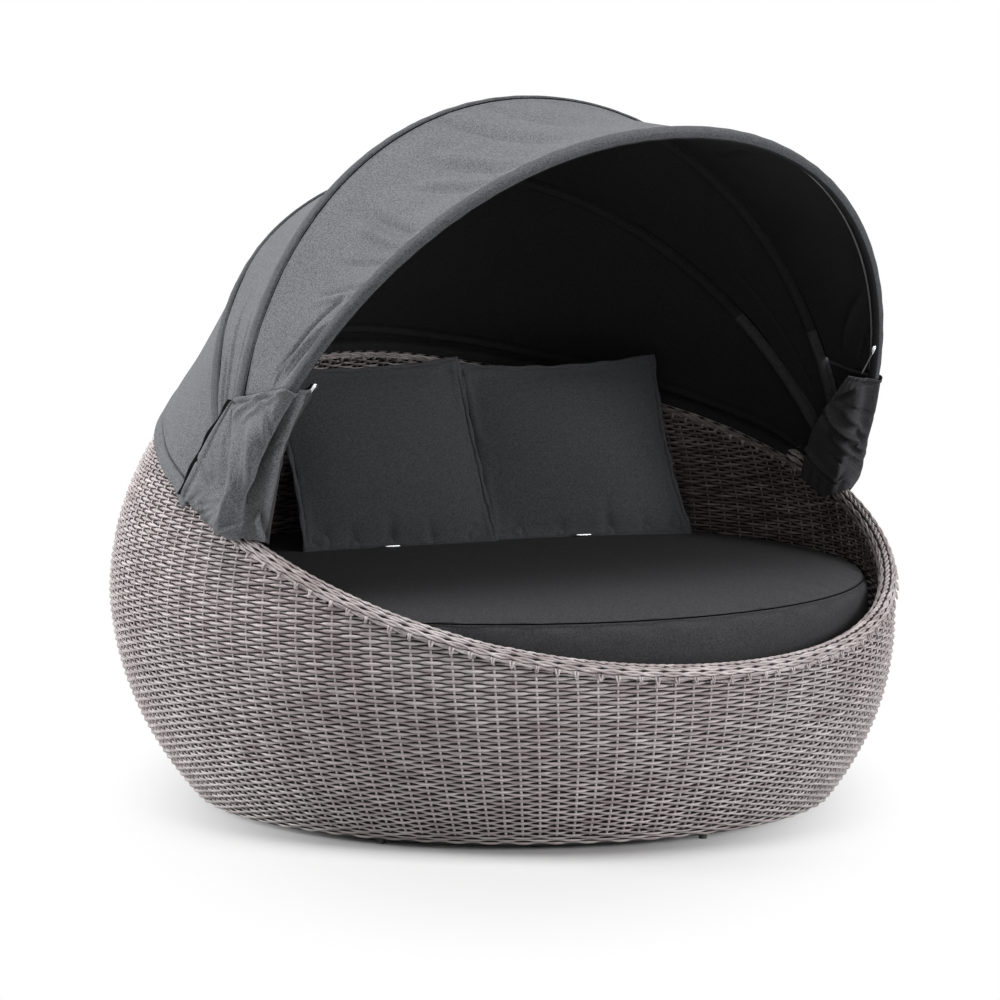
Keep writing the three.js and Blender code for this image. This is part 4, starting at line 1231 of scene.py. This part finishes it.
def boot(side):
    spec, word, mirror = BOOTS[side], SIDES[side], np.array([side, 1, 1])
    u, v = np.linspace(0, 1, BOOT_COLUMNS), np.linspace(0, 1, BOOT_ROWS)
    lines = boot_lines(spec, v)
    knots = np.concatenate([[0], np.cumsum(grid_steps(lines, 0).mean(1))])
    knots /= knots[-1]
    grid = through(knots, lines, u)
    flat, area = flat_cut(grid)
    across, down = np.meshgrid(u, v, indexing="ij")
    U, V = across * BOOT_WIDTH, down * BOOT_HEIGHT
    wrinkles = np.random.default_rng(40 + side)
    creases = list(BOOT_CREASES[side])
    for _ in range(SMALL_CREASES):
        x, y, bearing = wrinkles.uniform(90, 340), wrinkles.uniform(0, 300), wrinkles.normal(0.1, 0.35)
        length = wrinkles.uniform(50, 150)
        end = (x - length * math.sin(bearing), y + length * math.cos(bearing))
        width = wrinkles.uniform(4, 9)
        creases.append((x, y, *end, width, wrinkles.choice([-1, 1]) * wrinkles.uniform(1.2, 3)))
    lift = spec["creasing"] * creased(U, V, creases)

    # Ripples where the cloth is gathered at the border and the seam, then a hem along both edges
    gathers = np.sin(2 * np.pi * (12 * across + 0.3 * np.sin(9 * across)))
    lift += 2.4 * gathers * smooth(down, 0.74, 0.97)
    lift += 0.5 * np.sin(2 * np.pi * 15 * across + 1) * (1 - smooth(down, 0.03, 0.2))
    lift += 2.5 * smooth(U, BOOT_WIDTH - 11, BOOT_WIDTH - 7) - 3 * bell(U, BOOT_WIDTH - 13, 3.5)
    lift += 2.5 * (1 - smooth(V, 7, 11)) - 3 * bell(V, 13, 3.5)
    lift = np.maximum(lift, lerp(-19, -2, smooth(across, knots[2], knots[3])))
    lift *= 1 - 0.5 * smooth(down, 0.95, 1)
    grid = grid + grid_normals(grid, BOOT_CENTRE) * lift[..., None]
    grid[..., 2] -= 4 * (0.5 + 0.5 * np.sin(2 * np.pi * 6.3 * across + 1)) * smooth(down, 0.93, 1)
    grid = grid * mirror
    normals = grid_normals(grid, BOOT_CENTRE * mirror)
    materials = (CANOPY_CLOTH, CANOPY_INSIDE_SHADE, SHADED_CLOTH)
    shaded = np.repeat(np.where(u[:-1] < knots[spec["shaded_to"]], 2, 0), BOOT_ROWS - 1)
    sheet = cloth_sheet("boot_sheet_" + word, grid, normals, CLOTH, materials, shaded)

    # A black strip under the rear edge, standing for a zip tape, shows as a narrow band beyond it; its black
    # is painted shadow beside the lifted edge.
    rear, v = lines[-1, 7:], v[7:]
    reach = 24 + 4 * np.sin(v * 19) + 3 * smooth(v, 0.7, 0.95)
    near = rear + np.array([-4.5, -9, 0])
    far = rear + np.stack([0 * v - 6, reach, 0 * v], -1)
    strip = lerp(near[:, None], far[:, None], np.linspace(0, 1, 5)[:, None]) * mirror
    normals = grid_normals(strip, BOOT_CENTRE * mirror)
    facing = cloth_sheet("boot_shadow_strip_" + word, strip, normals, SHADOW_STRIP_THICKNESS, (PAINTED_SHADE_BLACK, PAINTED_SHADE_BLACK))
    return sheet, facing, flat, area


# A zip slider with its bail and pull hangs at each front corner of the canopy. It has its place
# from the bow inwards and forwards, and its pull hangs inwards and down.
ZIPS = {
    1: {"place": (-17, 8), "hang": (-0.15, 0, -0.99), "length": 64},
    -1: {"place": (-46, 5), "hang": (0.35, 0, -0.93), "length": 36},
}
ZIP_BODY = [(-9, 3.8, 2.8), (-6, 5.2, 3.4), (0, 4.8, 3.8), (7, 4.2, 3.4), (10, 3.0, 2.2)]
ZIP_BAIL = [(-5, 1.4, 1.0), (0, 1.8, 1.2), (8, 1.6, 1.2), (12, 1.6, 1.1)]
ZIP_SIDES = 8


def zip_pull(side):
    spec = ZIPS[side]
    long = spec["length"]
    tab = [(12, 1.4, 1.0), (15, 2.4, 1.0), (0.5 * long, 1.9, 1.0), (0.9 * long, 2.8, 1.1), (long, 1.8, 0.9)]
    forward = bow_normal(FRONT_BOW)
    start = beside_leg(FRONT_BOW, SEAM_FRONT_LEFT + 4, *spec["place"])
    down = np.array(spec["hang"])
    down = unit(down - forward * np.dot(down, forward))
    tubes = []
    for parts, ahead in ((ZIP_BODY, 0.0), (ZIP_BAIL, 4.4), (tab, 3.6)):
        along, wide, deep = np.array(parts).T
        line = start + down * along[:, None] + forward * ahead
        tubes.append(tube_points(line, np.cross(forward, down), forward, wide, deep, ZIP_SIDES, math.pi / 8))
    points, faces = capped(tubes)
    tab_faces = (len(tab) - 1) * ZIP_SIDES + 2
    coated = np.arange(len(faces)) >= len(faces) - tab_faces
    return add_mesh("zip_pull_" + SIDES[side], points * [side, 1, 1], faces, [ZIP_METAL, COATING], coated)


for side, word in SIDES.items():
    boot_piece, boot_shadow_strip, boot_flat, boot_area = boot(side)
    for piece in (boot_piece, boot_shadow_strip):
        dress(piece, "base")
        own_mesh(piece)
    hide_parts("boot_" + word)
    dress(zip_pull(side), "front_hoop", "zip_slider_" + word)

fan(front_panel, "mid_hoop", "front_hoop")
fan(piping, "mid_hoop", "front_hoop")
fan(mid_panel, "rear_hoop", "mid_hoop")
fan(rear_panel, "base", "rear_hoop", rear_shares)
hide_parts("canopy_front_panel")
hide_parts("canopy_mid_panel")
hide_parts("canopy_rear_panel")

# Finishes of the solids that stay as they are, by the starts of their names
FINISHES = (
    (COATING, ("base_ring", "seat_ring", "rim_tube", "frame_rib", "seat_beam", "base_bar", "seat_post")),
    (COATING, ("pivot_bracket",)),
    (SLAT_METAL, ("seat_slat",)),
    (TUBE_METAL, ("bow_",)),
    (FASTENER, ("pivot_bolt", "pivot_washer", "pivot_nut")),
    (GLIDE_NYLON, ("glide",)),
)
for finish, starts in FINISHES:
    for name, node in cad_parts.items():
        if name.startswith(starts):
            node.data.materials.clear()
            node.data.materials.append(finish)

# Floor, white surroundings, light and camera. The floor turns white away from the object, and
# keeps its shadow inside an oval that reaches further to the front than to the sides.
FLOOR_HALF = 40
FLOOR_TONE = 0.58
SHADOW_TURN = -35.4 * DEG
SHADOW_SCALE = (0.97, 2.17, 1)
SHADOW_NEAR = 0.40
SHADOW_FAR = 0.94


def add_floor():
    mesh = bpy.data.meshes.new("floor")
    corners = [(x * FLOOR_HALF, y * FLOOR_HALF, 0) for x, y in ((-1, -1), (1, -1), (1, 1), (-1, 1))]
    mesh.from_pydata(corners, [], [[0, 1, 2, 3]])
    look = Look("floor", 0.9, specular=0.1)
    look.surface["Base Color"].default_value = (FLOOR_TONE, FLOOR_TONE, FLOOR_TONE, 1)
    inputs = {"Rotation": (0, 0, SHADOW_TURN), "Scale": SHADOW_SCALE, "Vector": look.place}
    oval = look.node("Mapping", "Vector", inputs, vector_type="TEXTURE")
    distance = look.node("VectorMath", "Value", {0: oval}, operation="LENGTH")
    inputs = {"From Min": SHADOW_NEAR, "From Max": SHADOW_FAR, "Value": distance}
    fade = look.node("MapRange", "Result", inputs, interpolation_type="SMOOTHSTEP")
    glow = look.nodes.new("ShaderNodeEmission").outputs["Emission"]
    shader = look.nodes["Principled BSDF"].outputs["BSDF"]
    inputs = {"Fac": look.maths("MULTIPLY", look.looking(), fade), 1: shader, 2: glow}
    look.feed(look.nodes["Material Output"].inputs["Surface"], look.node("MixShader", "Shader", inputs))
    mesh.materials.append(look.material)
    place_object("floor", mesh)


def add_world(level):
    world = bpy.data.worlds.new("studio")
    tree = Tree(world)
    background = tree.nodes["Background"].inputs
    tree.feed(background["Color"], (1, 1, 1, 1))
    inputs = {"To Min": level, "To Max": 1.0, "Value": tree.looking()}
    tree.feed(background["Strength"], tree.node("MapRange", "Result", inputs))
    bpy.context.scene.world = world


def add_lamp(name, place, aim, size, power):
    lamp = bpy.data.lights.new(name, "AREA")
    lamp.shape = "SQUARE"
    lamp.size = size
    lamp.energy = power
    place_object(name, lamp, place, aim)


add_floor()
add_world(0.17)
add_lamp("left", (-4.6, 4.0, 2.5), (0, 0, 0.7), 2.2, 350)
add_lamp("top", (-1.2, -1.0, 5.8), (0, 0, 0.7), 2.4, 300)
add_lamp("right", (3.4, -6.2, 2.2), (0, 0, 0.5), 2.6, 330)
add_lamp("front", (-4.2, -6.2, 1.6), (0, 0, 0.5), 3.0, 62)

CAMERA_PLACE = (-7.101, -9.993, 2.143)
CAMERA_AIM = (0, 0.0135, 0.6568)
camera_data = bpy.data.cameras.new("camera")
camera_data.sensor_width = 36
camera_data.lens = 198.48
camera_data.clip_end = 200
bpy.context.scene.camera = place_object("camera", camera_data, CAMERA_PLACE, CAMERA_AIM)
bpy.context.scene.view_settings.view_transform = "Standard"

bpy.context.view_layer.update()
